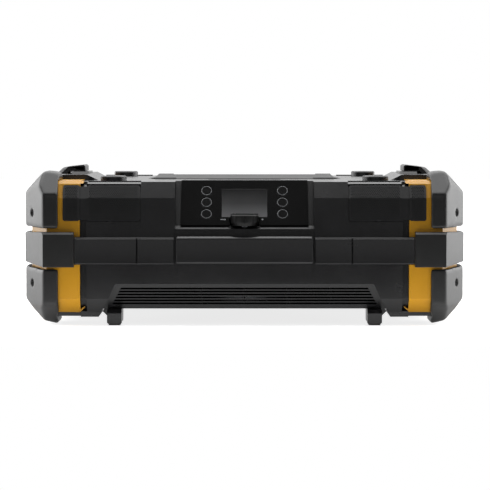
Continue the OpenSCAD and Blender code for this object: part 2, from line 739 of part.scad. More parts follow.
module end_cap() difference() {
    union() {
        difference() {
            cap_body();
            cap_body(cap_wall);
            // Weight-saving window in the inner wall
            along_x(cap_joint_x - over, cap_joint_x + 2 * cap_wall) polygon(inset(cap_section(), window_in));
        }
        intersection() {
            cap_body();
            latch_recess(recess_wall);
        }
        // Toes that reach into the grooves
        for (end = [1, -1]) corner(1, end) along_y(-skid_y - 1.7, -skid_y + 0.5) polygon([
            [cap_joint_x - 4.6, cap_base_z + 5], [cap_joint_x + over, cap_base_z],
            [cap_joint_x + over, cap_base_z + 2], [cap_joint_x - 4, cap_base_z + 5.8]
        ]);
        // Tongues that reach over the grooves
        for (end = [1, -1]) corner(1, end) along_y(high_face_y(cap_face_y, tongue_low_z) - over,
            groove_y(step_z) + step_run - fixed_gap) {
            translate([cap_joint_x - tongue_l + 1.3, tongue_low_z + 1.3]) circle(1.3);
            block_plan([cap_joint_x - tongue_l + 1.3, tongue_low_z], [cap_joint_x + over, tongue_low_z + 2.6]);
        }
    }
    // Bevels along the top
    for (end = [1, -1]) corner(1, end) along_x(cap_joint_x - 2 * tongue_l, half_w) polygon([
        [high_face_y(cap_face_y, edge_z), edge_z], [high_face_y(cap_face_y, edge_z) + cap_edge_run, cap_top_z],
        [high_face_y(cap_face_y, edge_z) + cap_edge_run, cap_top_z + over], [-half_d, cap_top_z + over],
        [-half_d, edge_z]
    ]);
    latch_recess(0);
    // Seat of the speaker grilles
    for (end = [1, -1]) corner(1, end)
        grille_band(grille_x0, grille_x1 + grille_gap, grille_z0 - grille_gap, grille_z1 + grille_gap, 2,
            edge_seat);
    // Bores for the latch pin
    rod_y(latch_pivot_x, latch_pivot_z, latch_pin_d / 2 + fixed_gap, -latch_pin_l / 2, latch_pin_l / 2);
    // Holes for the guard screws
    for (end = [1, -1], z = [upper_screw_z, lower_screw_z]) corner(1, end) on_slant(z)
        translate([0, 0, -guard_corner_t - screw_l]) cylinder(r = screw_r + fixed_gap, h = screw_l + over);
}
module block_plan(a, b) translate(a) square(b - a);

module right_end_cap() color(yellow) end_cap();
module left_end_cap() color(yellow) corner(-1, 1) end_cap();

// ---- Corner guards, drawn on the front right corner ----
// Plan of a guard, from its inner edge round the slanted corner
module guard_plan(x0, front) polygon([
    [x0, at_depth(front)], [slant_x(front, front, 0), at_depth(front)], [half_w, at_depth(front + slant_l)],
    [half_w, at_depth(guard_side_l)], [x0, at_depth(guard_side_l)]
]);
module guard_screw_hole(z) on_slant(z) {
    translate([0, 0, -screw_head_h - 1]) cylinder(r = screw_hole_r, h = 10);
    translate([0, 0, -12]) cylinder(r = screw_r + 0.3, h = 20);
}

module top_guard() color(guard_black) difference() {
    intersection() {
        along_z(0, guard_top_z) guard_plan(guard_x, guard_front_depth);
        along_y(-half_d, half_d) polygon([
            [guard_x, upper_guard_z], [half_w, upper_guard_z + 1.2], [half_w, guard_top_z - slant_w],
            [half_w - slant_w, guard_top_z], [guard_x + 3, guard_top_z - 1.2], [guard_x, guard_top_z - 3.5]
        ]);
        along_x(0, half_w) polygon([
            [at_depth(guard_front_depth), 0], [at_depth(guard_front_depth), guard_top_z - guard_facet],
            [at_depth(guard_front_depth + guard_facet), guard_top_z],
            [at_depth(guard_side_l - 10), guard_top_z], [at_depth(guard_side_l), guard_top_z - 10],
            [at_depth(guard_side_l), 0]
        ]);
    }
    cap_body();
    guard_screw_hole(upper_screw_z);
}

module mid_guard() color(guard_black) difference() {
    intersection() {
        along_z(0, guard_top_z) guard_plan(half_w - mid_guard_w, mid_guard_depth);
        along_y(-half_d, half_d) polygon([
            [half_w - mid_guard_w, mid_guard_bottom_z], [guard_x + 14, mid_guard_bottom_z],
            [half_w, mid_guard_bottom_z + 3.5], [half_w, mid_guard_top_z - 1.5],
            [guard_x + 14, mid_guard_top_z], [half_w - mid_guard_w, mid_guard_top_z]
        ]);
        along_x(0, half_w) polygon([
            [at_depth(mid_guard_depth), 0], [at_depth(guard_side_l), 0], [at_depth(guard_side_l), mid_guard_top_z],
            [at_depth(mid_guard_depth + mid_bevel), mid_guard_top_z],
            [at_depth(mid_guard_depth), mid_guard_top_z - mid_bevel]
        ]);
    }
    cap_body();
}

module bottom_guard() color(guard_black) difference() {
    intersection() {
        along_z(0, guard_top_z) guard_plan(guard_x, guard_front_depth);
        along_y(-half_d, half_d) polygon([
            [guard_x + 2, toe_z], [half_w - slant_w + 0.4, toe_z + 3.4], [half_w, toe_slope_z],
            [half_w, lower_guard_z + 2], [half_w - slant_w, lower_guard_z], [guard_x, lower_guard_z],
            [guard_x, cap_base_z], [guard_x + 2.3, cap_base_z - skid_t], [guard_x + 0.8, toe_z + 2]
        ]);
        along_x(0, half_w) polygon([
            [at_depth(guard_front_depth), lower_guard_z + 5], [at_depth(guard_front_depth), toe_facet_z],
            [at_depth(guard_front_depth + toe_facet_z), 0], [at_depth(guard_side_l - 10), 0],
            [at_depth(guard_side_l), 10], [at_depth(guard_side_l), lower_guard_z + 5]
        ]);
    }
    cap_body();
    block([0, -skid_y, cap_base_z - skid_t], [skid_x, half_d, cap_base_z]);
    guard_screw_hole(lower_screw_z);
}

module front_right_top_guard() corner(1, 1) top_guard();
module front_left_top_guard() corner(-1, 1) top_guard();
module rear_right_top_guard() corner(1, -1) top_guard();
module rear_left_top_guard() corner(-1, -1) top_guard();
module front_right_mid_guard() corner(1, 1) mid_guard();
module front_left_mid_guard() corner(-1, 1) mid_guard();
module rear_right_mid_guard() corner(1, -1) mid_guard();
module rear_left_mid_guard() corner(-1, -1) mid_guard();
module front_right_bottom_guard() corner(1, 1) bottom_guard();
module front_left_bottom_guard() corner(-1, 1) bottom_guard();
module rear_right_bottom_guard() corner(1, -1) bottom_guard();
module rear_left_bottom_guard() corner(-1, -1) bottom_guard();

// Screws in the guards, with a cross slot in each head
module guard_screws() color(steel) four_corners() for (z = [upper_screw_z, lower_screw_z]) on_slant(z) {
    difference() {
        translate([0, 0, -1 - screw_head_h]) cylinder(r = screw_head_r, h = screw_head_h);
        for (turn = [0, 90]) rotate(turn) translate([-2, -0.4, -2]) cube([4, 0.8, 2]);
    }
    translate([0, 0, -1 - screw_head_h - screw_l]) cylinder(r = screw_r, h = screw_l);
}

// ---- Rails ----
module rail_outline(depth, z0, z1) polygon([
    [-face_y, z0], [-face_y, z1], [at_depth(depth + rail_crease + 3), z1],
    [at_depth(depth + rail_crease), z1 - rail_bevel], [at_depth(depth), (z0 + z1) / 2],
    [at_depth(depth), z0 + rail_bevel / 2], [at_depth(depth + 2), z0]
]);
module side_segments(x0) {
    joint_x = x0 + rail_inner_w;
    difference() {
        along_x(x0, rail_outer_x)
            rail_outline(rail_step, rail_bottom_z - rail_drop, rail_top_z - rail_drop);
        block([joint_x, -half_d, 0], [joint_x + rail_gap, at_depth(rail_step + rail_crease + 1.6), top_z]);
    }
}
module front_center_rail() color(black) along_x(-rail_center_half, rail_center_half)
    rail_outline(0, rail_bottom_z, rail_top_z);
module front_right_rail() color(black) side_segments(rail_center_half + 2.3);
module front_left_rail() color(black) corner(-1, 1) side_segments(rail_center_half + 2.3);
module rear_right_rail() color(black) corner(1, -1) side_segments(rail_center_half + 2.3);
module rear_left_rail() color(black) corner(-1, -1) side_segments(rail_center_half + 2.3);
module side_rail() along_y(at_depth(guard_side_l + 0.3), -at_depth(guard_side_l + 0.3)) polygon([
    [cap_x, rail_bottom_z - rail_drop], [cap_x + side_rail_t - 3, rail_bottom_z - rail_drop],
    [cap_x + side_rail_t, rail_bottom_z - rail_drop + 2], [cap_x + side_rail_t, rail_top_z - rail_drop - 3],
    [cap_x + side_rail_t - 3, rail_top_z - rail_drop], [cap_x, rail_top_z - rail_drop]
]);
module right_side_rail() color(black) side_rail();
module left_side_rail() color(black) corner(-1, 1) side_rail();

// ---- Control pod ----
// Outline of the pod in (y, z), listed anticlockwise; its leaning face lies panel_proud below the panel
function pod_outline() = [
    [at_depth(face_inset), pod_bottom_z], [at_depth(pod_depth), pod_bottom_z],
    [at_depth(pod_depth), panel_top_z - panel_proud * sin(panel_lean)],
    [at_depth(panel_high_depth) + panel_proud * cos(panel_lean), panel_top_z - panel_proud * sin(panel_lean)],
    [at_depth(panel_low_depth) + panel_proud * cos(panel_lean), ledge_z - panel_proud * sin(panel_lean)],
    [at_depth(face_inset), ledge_low_z]
];
module knob_well(t) translate([0, knob_y, well_floor_z - t])
    cylinder(r = well_r + t, h = well_top_z - well_floor_z + 2 * t);
function button_spots() = [for (i = [0 : 2], x = [-button_x, button_x]) [x, button_low + i * button_pitch]];

module control_pod() color(black) difference() {
    union() {
        difference() {
            along_x(-pod_half, pod_half) polygon(pod_outline());
            // Hollow, open below and behind
            along_x(-pod_half + pod_wall, pod_half - pod_wall) polygon(inset([
                [at_depth(face_inset), pod_bottom_z - 2 * pod_wall],
                [at_depth(pod_depth) + 2 * pod_wall, pod_bottom_z - 2 * pod_wall],
                [at_depth(pod_depth) + 2 * pod_wall, pod_outline()[2].y],
                pod_outline()[3], pod_outline()[4], pod_outline()[5]], pod_wall));
        }
        intersection() {
            knob_well(well_wall);
            along_x(-pod_half, pod_half) polygon(pod_outline());
        }
        // Seat that the encoder is clamped to
        translate([0, knob_y, encoder_z]) cylinder(r = encoder_half, h = well_wall + encoder_drop);
        // Posts that carry the control board
        on_panel() for (x = [-board_half + 3, board_half - 3], y = [8, panel_l - 8])
            translate([x, y, -board_back + board_t]) cylinder(r = 2.2, h = board_back - board_t - panel_proud - 1);
    }
    knob_well(0);
    // Seat of the panel
    on_panel() linear_extrude_down(panel_t, 6) block_plan([-panel_half, -4], [panel_half, panel_l + 4]);
    // Openings behind the display and the buttons
    on_panel() translate([0, 0, -12]) linear_extrude(12) {
        block_plan([-module_half - 0.4, window_low - 3.4], [module_half + 0.4, window_low + window_h + 3.4]);
        for (side = [-1, 1]) translate([side * button_x, 0])
            block_plan([-button_d / 2 - 2, 4.5], [button_d / 2 + 2, panel_l - 4.5]);
    }
    // Passage for the knob's shaft
    translate([0, knob_y, encoder_z - over]) cylinder(d = shaft_d + 0.6, h = encoder_drop + 4 * well_wall);
}
// Extrudes an outline from z = -depth to z = up
module linear_extrude_down(depth, up) translate([0, 0, -depth]) linear_extrude(depth + up) children();

module control_panel() color(gloss_black) difference() {
    on_panel() linear_extrude_down(panel_t, 0) difference() {
        soft_rect([-panel_half, 0], [panel_half, panel_l], 1.5);
        for (spot = button_spots()) translate(spot) circle(d = button_d + 2 * button_gap);
        block_plan([-window_half + window_lip, window_low + window_lip],
            [window_half - window_lip, window_low + window_h - window_lip]);
    }
    on_panel() linear_extrude_down(window_t, 1) block_plan([-window_half, window_low],
        [window_half, window_low + window_h]);
    knob_well(panel_seat);
}

module display_window() color(lens_grey) difference() {
    on_panel() linear_extrude_down(window_t, 0) block_plan([-window_half + 0.1, window_low + 0.1],
        [window_half - 0.1, window_low + window_h - 0.1]);
    knob_well(0);
}

module display_module() color(steel) difference() {
    on_panel() translate([0, 0, -panel_t]) linear_extrude_down(module_t, 0)
        block_plan([-module_half, window_low - 3], [module_half, window_low + window_h + 3]);
    knob_well(well_wall + 0.4);
}

// A button: a shallow dome on a stem, with a flange behind the panel
module button(spot) color(gloss_black) on_panel() translate([spot.x, spot.y, 0]) {
    translate([0, 0, -panel_t - 1.6]) cylinder(d = button_d, h = panel_t + 1.4);
    translate([0, 0, -0.2]) cylinder(d1 = button_d, d2 = button_d - 1.4, h = 0.5);
    translate([0, 0, -panel_t - 1.6]) cylinder(d = button_d + 1.8, h = 1.3);
}
module power_button() button(button_spots()[4]);
module source_button() button(button_spots()[2]);
module preset_button() button(button_spots()[0]);
module menu_button() button(button_spots()[5]);
module next_button() button(button_spots()[3]);
module previous_button() button(button_spots()[1]);

module control_board() color(board_green) {
    difference() {
        on_panel() translate([0, 0, -board_back]) linear_extrude(board_t)
            block_plan([-board_half, 4], [board_half, panel_l - 4]);
        knob_well(well_wall + 0.4);
    }
    // Dome switches under the buttons
    on_panel() for (spot = button_spots()) translate([spot.x, spot.y, -board_back])
        cylinder(d = switch_d, h = board_back - panel_t - 1.6 - button_travel - 0.2);
}

module volume_knob() color(gloss_black) {
    bore_r = shaft_d / 2 + shaft_gap;
    translate([0, knob_y, knob_z]) difference() {
        union() {
            cylinder(d1 = knob_d - 4, d2 = knob_d - 0.8, h = knob_h * 0.35);
            translate([0, 0, knob_h * 0.35]) cylinder(d = knob_d - 0.8, h = knob_h * 0.65 - 1);
            translate([0, 0, knob_h - 1]) cylinder(d1 = knob_d, d2 = knob_d - 1.4, h = 1);
        }
        for (i = [0 : knob_flutes - 1]) rotate(i * 360 / knob_flutes)
            translate([knob_d / 2 + 0.4, 0, -over]) cylinder(r = 1.3, h = knob_h, $fn = 24);
        translate([0, 0, -over]) cylinder(r = bore_r, h = knob_h - 3 + over);
    }
}

module knob_encoder() color(steel) {
    translate([0, knob_y, encoder_z]) cylinder(d = shaft_d, h = knob_z + knob_h - 3.5 - encoder_z);
    block([-encoder_half, knob_y - encoder_half, encoder_z - encoder_h],
        [encoder_half, knob_y + encoder_half, encoder_z]);
}

// ---- Speakers ----
module grille() difference() {
    grille_band(grille_x0, grille_x1, grille_z0, grille_z1, 2);
    // Staggered holes over the driver
    reach = tweeter_d / 2 - tweeter_ring - grille_hole_d / 2;
    rows = floor(reach / (grille_pitch * sqrt(3) / 2));
    columns = ceil(reach / grille_pitch) + 1;
    for (row = [-rows : rows], column = [-columns : columns]) {
        x = (column + (row % 2 == 0 ? 0 : 0.5)) * grille_pitch;
        z = row * grille_pitch * sqrt(3) / 2;
        if (norm([x, z]) < reach) rod_y(tweeter_x + x, tweeter_z + z, grille_hole_d / 2, -half_d, 1 - face_y + 14);
    }
}
module front_grilles() color(black) both_sides() grille();
module rear_grilles() color(black) both_sides() corner(1, -1) grille();

// Radius of a tweeter's basket at a depth behind its rim
function basket_r(depth) = tweeter_d / 2 - 4 - (depth + over) * 2 / 3;
module tweeter_frames() color(steel) four_corners() translate([tweeter_x, at_depth(tweeter_depth), tweeter_z])
    rotate([-90, 0, 0]) difference() {
        union() {
            cylinder(d = tweeter_d, h = 2);
            translate([0, 0, 2]) cylinder(d1 = tweeter_d - 6, d2 = tweeter_d - 12, h = 8);
            translate([0, 0, 10]) cylinder(d = tweeter_d - 10, h = 9);
        }
        translate([0, 0, -over]) cylinder(r1 = basket_r(-over), r2 = basket_r(8), h = 9);
    }
module tweeter_cones() color(gloss_black) four_corners()
    translate([tweeter_x, at_depth(tweeter_depth), tweeter_z]) rotate([-90, 0, 0]) rotate_extrude() polygon([
        [0, 0.6], [2.5, 1], [4.5, 2.6], [basket_r(0.6) - 1.4, 0.6], [basket_r(0.6) - fixed_gap, 0.6],
        [basket_r(1.4) - fixed_gap, 1.4], [5, 4.4], [0, 4.4]
    ]);

module woofer_frame() color(steel) translate([0, woofer_y, floor_z]) rotate_extrude() {
    r = woofer_d / 2;
    magnet_r = r * 0.55;
    basket_h = woofer_basket_z - floor_z;
    polygon([
        [r - 7, 0], [r, 0], [r, woofer_rim_t], [r - 3, woofer_rim_t], [magnet_r + 4, basket_h],
        [magnet_r + 4, basket_h + woofer_magnet_h], [0, basket_h + woofer_magnet_h], [0, basket_h - 2],
        [magnet_r, basket_h - 2], [r - 7, woofer_rim_t]
    ]);
}
module woofer_cone() color(gloss_black) translate([0, woofer_y, floor_z]) rotate_extrude() {
    r = woofer_d / 2 - 8;
    coil_r = r / 3;
    depth = r / 2;
    polygon([[0, depth * 0.3], [coil_r / 2, depth * 0.33], [coil_r, depth * 0.43], [r - 8, 2.4], [r - 4, 0.4],
        [r, 2], [r - 1, 3.4], [r - 4, 2], [r - 8, 4.2], [coil_r, depth * 0.74], [coil_r * 0.8, depth],
        [0, depth]]);
}
module woofer_grille() color(black) translate([0, woofer_y, arch_z]) difference() {
    cylinder(d = woofer_d, h = 1.5);
    // Rings of curved slots between four spokes
    for (r = [12 : 8 : woofer_d / 2 - 12]) difference() {
        translate([0, 0, -over]) cylinder(r = r + 4.6, h = 4);
        translate([0, 0, -2 * over]) cylinder(r = r, h = 6);
        for (turn = [45, 135]) rotate(turn) translate([-woofer_d, -2.5, -2 * over]) cube([2 * woofer_d, 5, 6]);
    }
}

module front_louvre() color(black) {
    slot_span = louvre_l - 2 * louvre_frame - 0.6;
    pitch = (slot_span + louvre_rib) / (louvre_ribs + 1);
    slot_h = (pitch - louvre_rib) * cos(louvre_lean);
    low_z = arch_z + (louvre_frame + 0.6) * cos(louvre_lean);
    taper = (louvre_low_half - louvre_high_half) / louvre_rise;
    difference() {
        on_louvre() linear_extrude_down(louvre_t, 0)
            louvre_outline(louvre_low_half, louvre_high_half, 0, louvre_l);
        // Slots with ends that follow the frame's slant, cut level so that the ribs slope like blades
        along_y(-half_d, 0) for (i = [0 : louvre_ribs]) {
            z0 = low_z + i * pitch * cos(louvre_lean);
            z1 = z0 + slot_h;
            low = louvre_low_half - louvre_side - (z0 - arch_z) * taper;
            high = louvre_low_half - louvre_side - (z1 - arch_z) * taper;
            polygon([[-low, z0], [low, z0], [high, z1], [-high, z1]]);
        }
    }
    // Webs that tie the blades together from behind
    on_louvre() for (i = [-2 : 2]) translate([i * louvre_high_half / 3 - 1, louvre_frame - 0.4, -louvre_t - 3])
        cube([2, louvre_l - 2 * louvre_frame + 0.8, 3.6]);
}

// ---- Handle ----
// Section of the grip in (y, z), with a gentle slope along its front
module grip_section(rise) let (low = handle_z - grip_h / 2, high = handle_z + grip_h / 2 + rise) polygon([
    [grip_y - grip_w / 2, low + 3], [grip_y - grip_w / 2 + 3, low], [grip_y + grip_w / 2 - 3, low],
    [grip_y + grip_w / 2, low + 3], [grip_y + grip_w / 2, high - 3], [grip_y + grip_w / 2 - 3, high],
    [grip_y - grip_w / 2 + 1, high - grip_lean], [grip_y - grip_w / 2, high - grip_lean - 1]
]);
module carry_handle() color(guard_black) difference() {
    union() {
        // Grip, low in the middle and thicker at its ends
        along_x(-end_grip_half - 2, end_grip_half + 2) grip_section(grip_rise);
        both_sides() {
            intersection() {
                along_x(end_grip_half, handle_half) grip_section(end_grip_rise);
                along_y(-half_d, half_d) polygon([
                    [end_grip_half - over, 0], [handle_half, 0], [handle_half, handle_z + grip_h / 2 - 1],
                    [handle_half - 4, handle_z + grip_h / 2 + end_grip_rise],
                    [end_grip_half + 3, handle_z + grip_h / 2 + end_grip_rise],
                    [end_grip_half - over, handle_z + grip_h / 2 - over]
                ]);
            }
            along_x(handle_half - arm_w, handle_half) {
                translate([handle_pivot_y, handle_z]) circle(grip_h / 2);
                translate([grip_y, handle_z - grip_h / 2]) square([handle_reach, grip_h - 1]);
            }
        }
    }
    both_sides() rod_x(handle_pivot_y, handle_z, handle_pin_d / 2 + pin_gap,
        handle_half - arm_w - over, handle_half + over);
}
module handle_pins() color(steel) both_sides() {
    rod_x(handle_pivot_y, handle_z, handle_pin_d / 2, handle_half - arm_w - 2, tray_half + pin_boss_l);
    rod_x(handle_pivot_y, handle_z, handle_pin_d / 2 + 2, handle_half - arm_w - 4, handle_half - arm_w - 2);
}

// ---- Side latches ----
module latch() difference() {
    union() {
        along_y(-latch_l / 2, latch_l / 2) {
            polygon([
                [latch_inner_x, latch_pivot_z], [latch_plate_x, latch_pivot_z],
                [latch_plate_x, latch_outer_sum - latch_plate_x],
                [latch_outer_sum - latch_top_z + 1.8, latch_top_z - 1.8], [latch_tip_x + 2, latch_top_z],
                [latch_tip_x, latch_top_z - 1.5], [latch_tip_x, latch_under_z],
                [latch_hook_x, latch_under_z], [latch_inner_x, latch_shoulder_z]
            ]);
            translate([latch_pivot_x, latch_pivot_z]) circle(latch_barrel_r);
        }
    }
    // Hollows in the hook's ends, between three ribs
    for (end = [-1, 1], x = [0 : hook_hollows - 1]) corner(1, end)
        block([latch_tip_x + 1.6 + x * hook_pitch, -latch_l / 2 - over, latch_under_z + 1],
            [latch_tip_x + x * hook_pitch + hook_pitch, -latch_l / 2 + hook_hollow_d, latch_top_z - 1.9]);
    // Finger grip below the shoulder
    along_x(latch_plate_x - 2.5, half_w)
        soft_rect([5 - latch_l / 2, latch_pivot_z + 9], [latch_l / 2 - 5, latch_shoulder_z - 6], 3);
    rod_y(latch_pivot_x, latch_pivot_z, latch_pin_d / 2 + pin_gap, -latch_l, latch_l);
}
module right_latch() color(guard_black) latch();
module left_latch() color(guard_black) corner(-1, 1) latch();
// Deck between the flat top and a hook, with a ramped pad under the hook
module latch_decks() color(black) both_sides() {
    half = deck_l / 2;
    pad_half = latch_l / 2 + 4;
    difference() {
        intersection() {
            along_y(-half, half) polygon([
                [deck_x, top_z], [cap_joint_x, top_z], [cap_joint_x, cap_top_z], [deck_outer_x, cap_top_z],
                [deck_outer_x, deck_z], [deck_x + deck_ramp, deck_z]
            ]);
            along_z(0, half_w) union() {
                soft_rect([deck_x, -half], [deck_outer_x, half], deck_r);
                block_plan([deck_x + deck_r, -half], [deck_outer_x, half]);
            }
        }
        // Room for the latch
        block([latch_room_x, -recess_half, 0], [half_w, recess_half, half_w]);
    }
    along_x(deck_x + deck_ramp + 2, latch_room_x - 3.2) polygon([
        [-pad_half - pad_rise, deck_z - over], [pad_half + pad_rise, deck_z - over],
        [pad_half + pad_rise, deck_z], [pad_half, pad_z], [-pad_half, pad_z], [-pad_half - pad_rise, deck_z]
    ]);
}
module latch_pins() color(steel) both_sides()
    rod_y(latch_pivot_x, latch_pivot_z, latch_pin_d / 2, -latch_pin_l / 2, latch_pin_l / 2);

// ---- Battery bay ----
module battery_door() color(black) difference() {
    union() {
        // Plate with a round lower edge, its rail and its finger tab
        along_y(face_y - door_t, face_y) soft_rect([-door_half, door_hinge_z], [door_half, door_top_z], 2.5);
        along_x(-door_half, door_half) translate([door_hinge_y, door_hinge_z]) circle(door_r);
        corner(1, -1) along_x(-door_half, door_half) rail_outline(0, rail_bottom_z, rail_top_z);
        along_y(face_y - over, face_y + 3) soft_rect([-13, door_top_z - 7], [13, door_top_z], 2);
        // Snap tongue behind the tab
        block([-10, face_y - door_t - 3, door_top_z - 6], [10, face_y - door_t + over, door_top_z - 3.5]);
        // Stiffening ribs
        for (x = [-38, 0, 38]) block([x - 1, face_y - door_t - 2.5, door_hinge_z + 12],
            [x + 1, face_y - door_t + over, door_top_z - 16]);
        rod_x(door_hinge_y, door_hinge_z, trunnion_d / 2, -bay_half - 1.5, bay_half + 1.5);
    }
    // Scoop above the rail for a finger
    along_y(face_y - 1.2, half_d) soft_rect([-13, door_top_z - 15], [13, door_top_z - 7], 2);
}

module battery_bay() color(gloss_black) difference() {
    block([-bay_half - bay_wall, bay_front_y, bay_low_z - bay_wall], [bay_half + bay_wall, bay_back_y,
        bay_high_z + bay_wall]);
    block([-bay_half, bay_front_y + bay_wall, bay_low_z], [bay_half, bay_back_y + over, bay_high_z]);
    rod_x(door_hinge_y, door_hinge_z, trunnion_d / 2 + pin_gap, -bay_half - 2 * bay_wall, bay_half + 2 * bay_wall);
}

// Slide-on battery terminal: a block with two side rails and upright blades between them
module battery_terminal() color(steel) translate([0, bay_front_y + bay_wall, terminal_z]) {
    rail_l = terminal_half;
    block([-terminal_half, 0, 0], [terminal_half, terminal_t, 12]);
    for (side = [-1, 1]) corner(side, 1) {
        block([terminal_half - 6, 0, 12], [terminal_half, terminal_t, 12 + rail_l]);
        block([terminal_half - 10, terminal_t - 3, 12], [terminal_half - 5.5, terminal_t, 12 + rail_l]);
    }
    for (i = [-1.5 : 1.5])
        block([i * terminal_half / 4 - 0.5, 0, 11.5], [i * terminal_half / 4 + 0.5, 6, rail_l + 2]);
}

// ---- Inner parts ----
module main_board() color(board_green) {
    z = main_board_z;
    w = board_half_w;
    l = (board_back_y - board_front_y) / 3;
    block([-w, board_front_y, z], [w, board_back_y, z + board_t]);
    // Heat sink with fins, capacitors and a chip
    translate([-w * 0.7, board_back_y - l - 6, z]) {
        block([0, 0, -sink_h * 0.4], [w * 0.6, l, 0.1]);
        for (i = [0 : 5]) block([0, i * l / 6, -sink_h * 1.4], [w * 0.6, i * l / 6 + 1.8, 0.1 - sink_h * 0.4]);
    }
    for (i = [1 : 3]) translate([i * w / 4.5, board_back_y - l, z - sink_h * 1.4])
        cylinder(d = w / 7, h = sink_h * 1.4 + 0.1);
    block([w * 0.3, board_front_y + 16, z - 2], [w * 0.52, board_front_y + 16 + w * 0.22, z + 0.1]);
}

module power_supply() color(board_green) {
    w = supply_w;
    translate([supply_x0, supply_y, floor_z]) {
        block([0, 0, 0], [w, supply_l, board_t]);
        // Transformer core through its winding, and two capacitors
        block([w * 0.08, supply_l * 0.12, board_t - 0.1], [w * 0.55, supply_l * 0.58, supply_h]);
        block([w * 0.17, supply_l * 0.06, supply_h / 5], [w * 0.46, supply_l * 0.64, supply_h * 0.9]);
        for (y = [0.18, 0.53]) translate([w * 0.8, supply_l * y, board_t - 0.1])
            cylinder(d = w / 4, h = supply_h * 0.8);
    }
}

module inlet_plan(t, r) soft_rect([inlet_x - inlet_half - t, inlet_z - inlet_half_h - t],
    [inlet_x + inlet_half + t, inlet_z + inlet_half_h + t], r);
// Two-pin power inlet through the back of the lower housing
module power_inlet() color(gloss_black) {
    difference() {
        union() {
            along_y(face_y - wall - inlet_l, face_y) inlet_plan(0, 3);
            along_y(face_y, face_y + 1.5) inlet_plan(inlet_rim, 4);
        }
        along_y(face_y - wall - inlet_l + 4, face_y + 3) inlet_plan(-bay_wall, 4);
    }
    for (x = [-inlet_half / 3, inlet_half / 3])
        rod_y(inlet_x + x, inlet_z, 1.2, face_y - wall - inlet_l + 3, face_y - 6);
}

// ---- Legs ----
module legs() color(black) four_corners() difference() {
    union() {
        intersection() {
            along_x(leg_x - leg_w / 2, leg_x + leg_w / 2) polygon([
                [at_depth(leg_front_depth), pad_t - pad_recess], [at_depth(leg_front_depth), leg_top_z - 4],
                [at_depth(leg_front_depth) + 7, leg_top_z], [at_depth(leg_front_depth) + leg_l + 4, leg_top_z],
                [at_depth(leg_front_depth) + leg_l, pad_t - pad_recess]
            ]);
            along_y(-half_d, 0) soft_rect([leg_x - leg_w / 2, pad_t - pad_recess],
                [leg_x + leg_w / 2, leg_top_z + 10], 2);
        }
        // Gusset that flares outwards under the body
        along_y(at_depth(leg_front_depth) + 16, at_depth(leg_front_depth) + leg_l) polygon([
            [leg_x + leg_w / 2 - over, leg_top_z], [leg_x + leg_w / 2 - over, base_z], [leg_x + leg_w / 2, base_z],
            [arch_half - 0.6, skirt_z + 0.2], [arch_half - 2.6, leg_top_z]
        ]);
    }
    translate([0, 0, pad_t - pad_recess - over]) linear_extrude(pad_recess + over)
        pad_outline(0);
}
module pad_outline(gap) soft_rect(
    [leg_x - leg_w / 2 + pad_inset + gap, at_depth(leg_front_depth) + pad_inset + 1 + gap],
    [leg_x + leg_w / 2 - pad_inset - gap, at_depth(leg_front_depth) + leg_l - pad_inset - 1 - gap], 2);
module foot_pads() color(gloss_black) four_corners() linear_extrude(pad_t) pad_outline(0.1);

top_housing();
handle_tray();
base_housing();
left_end_cap();
right_end_cap();
front_left_top_guard();
front_left_mid_guard();
front_left_bottom_guard();
front_right_top_guard();
front_right_mid_guard();
front_right_bottom_guard();
rear_left_top_guard();
rear_left_mid_guard();
rear_left_bottom_guard();
rear_right_top_guard();
rear_right_mid_guard();
rear_right_bottom_guard();
front_center_rail();
front_left_rail();
front_right_rail();
rear_left_rail();
rear_right_rail();
left_side_rail();
right_side_rail();
control_pod();
control_panel();
display_window();
display_module();
power_button();
source_button();
preset_button();
menu_button();
next_button();
previous_button();
control_board();
volume_knob();
knob_encoder();
front_grilles();
rear_grilles();
tweeter_frames();
tweeter_cones();
woofer_frame();
woofer_cone();
woofer_grille();
front_louvre();
carry_handle();
handle_pins();
left_latch();
right_latch();
latch_decks();
latch_pins();
battery_door();
battery_bay();
battery_terminal();
main_board();
power_supply();
power_inlet();
legs();
foot_pads();
guard_screws();
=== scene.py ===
"""Looks of the jobsite radio: materials, edges, fine pieces, studio and camera. All lengths are metres."""
import json
import math

import bmesh
import bpy
from mathutils import Matrix, Vector


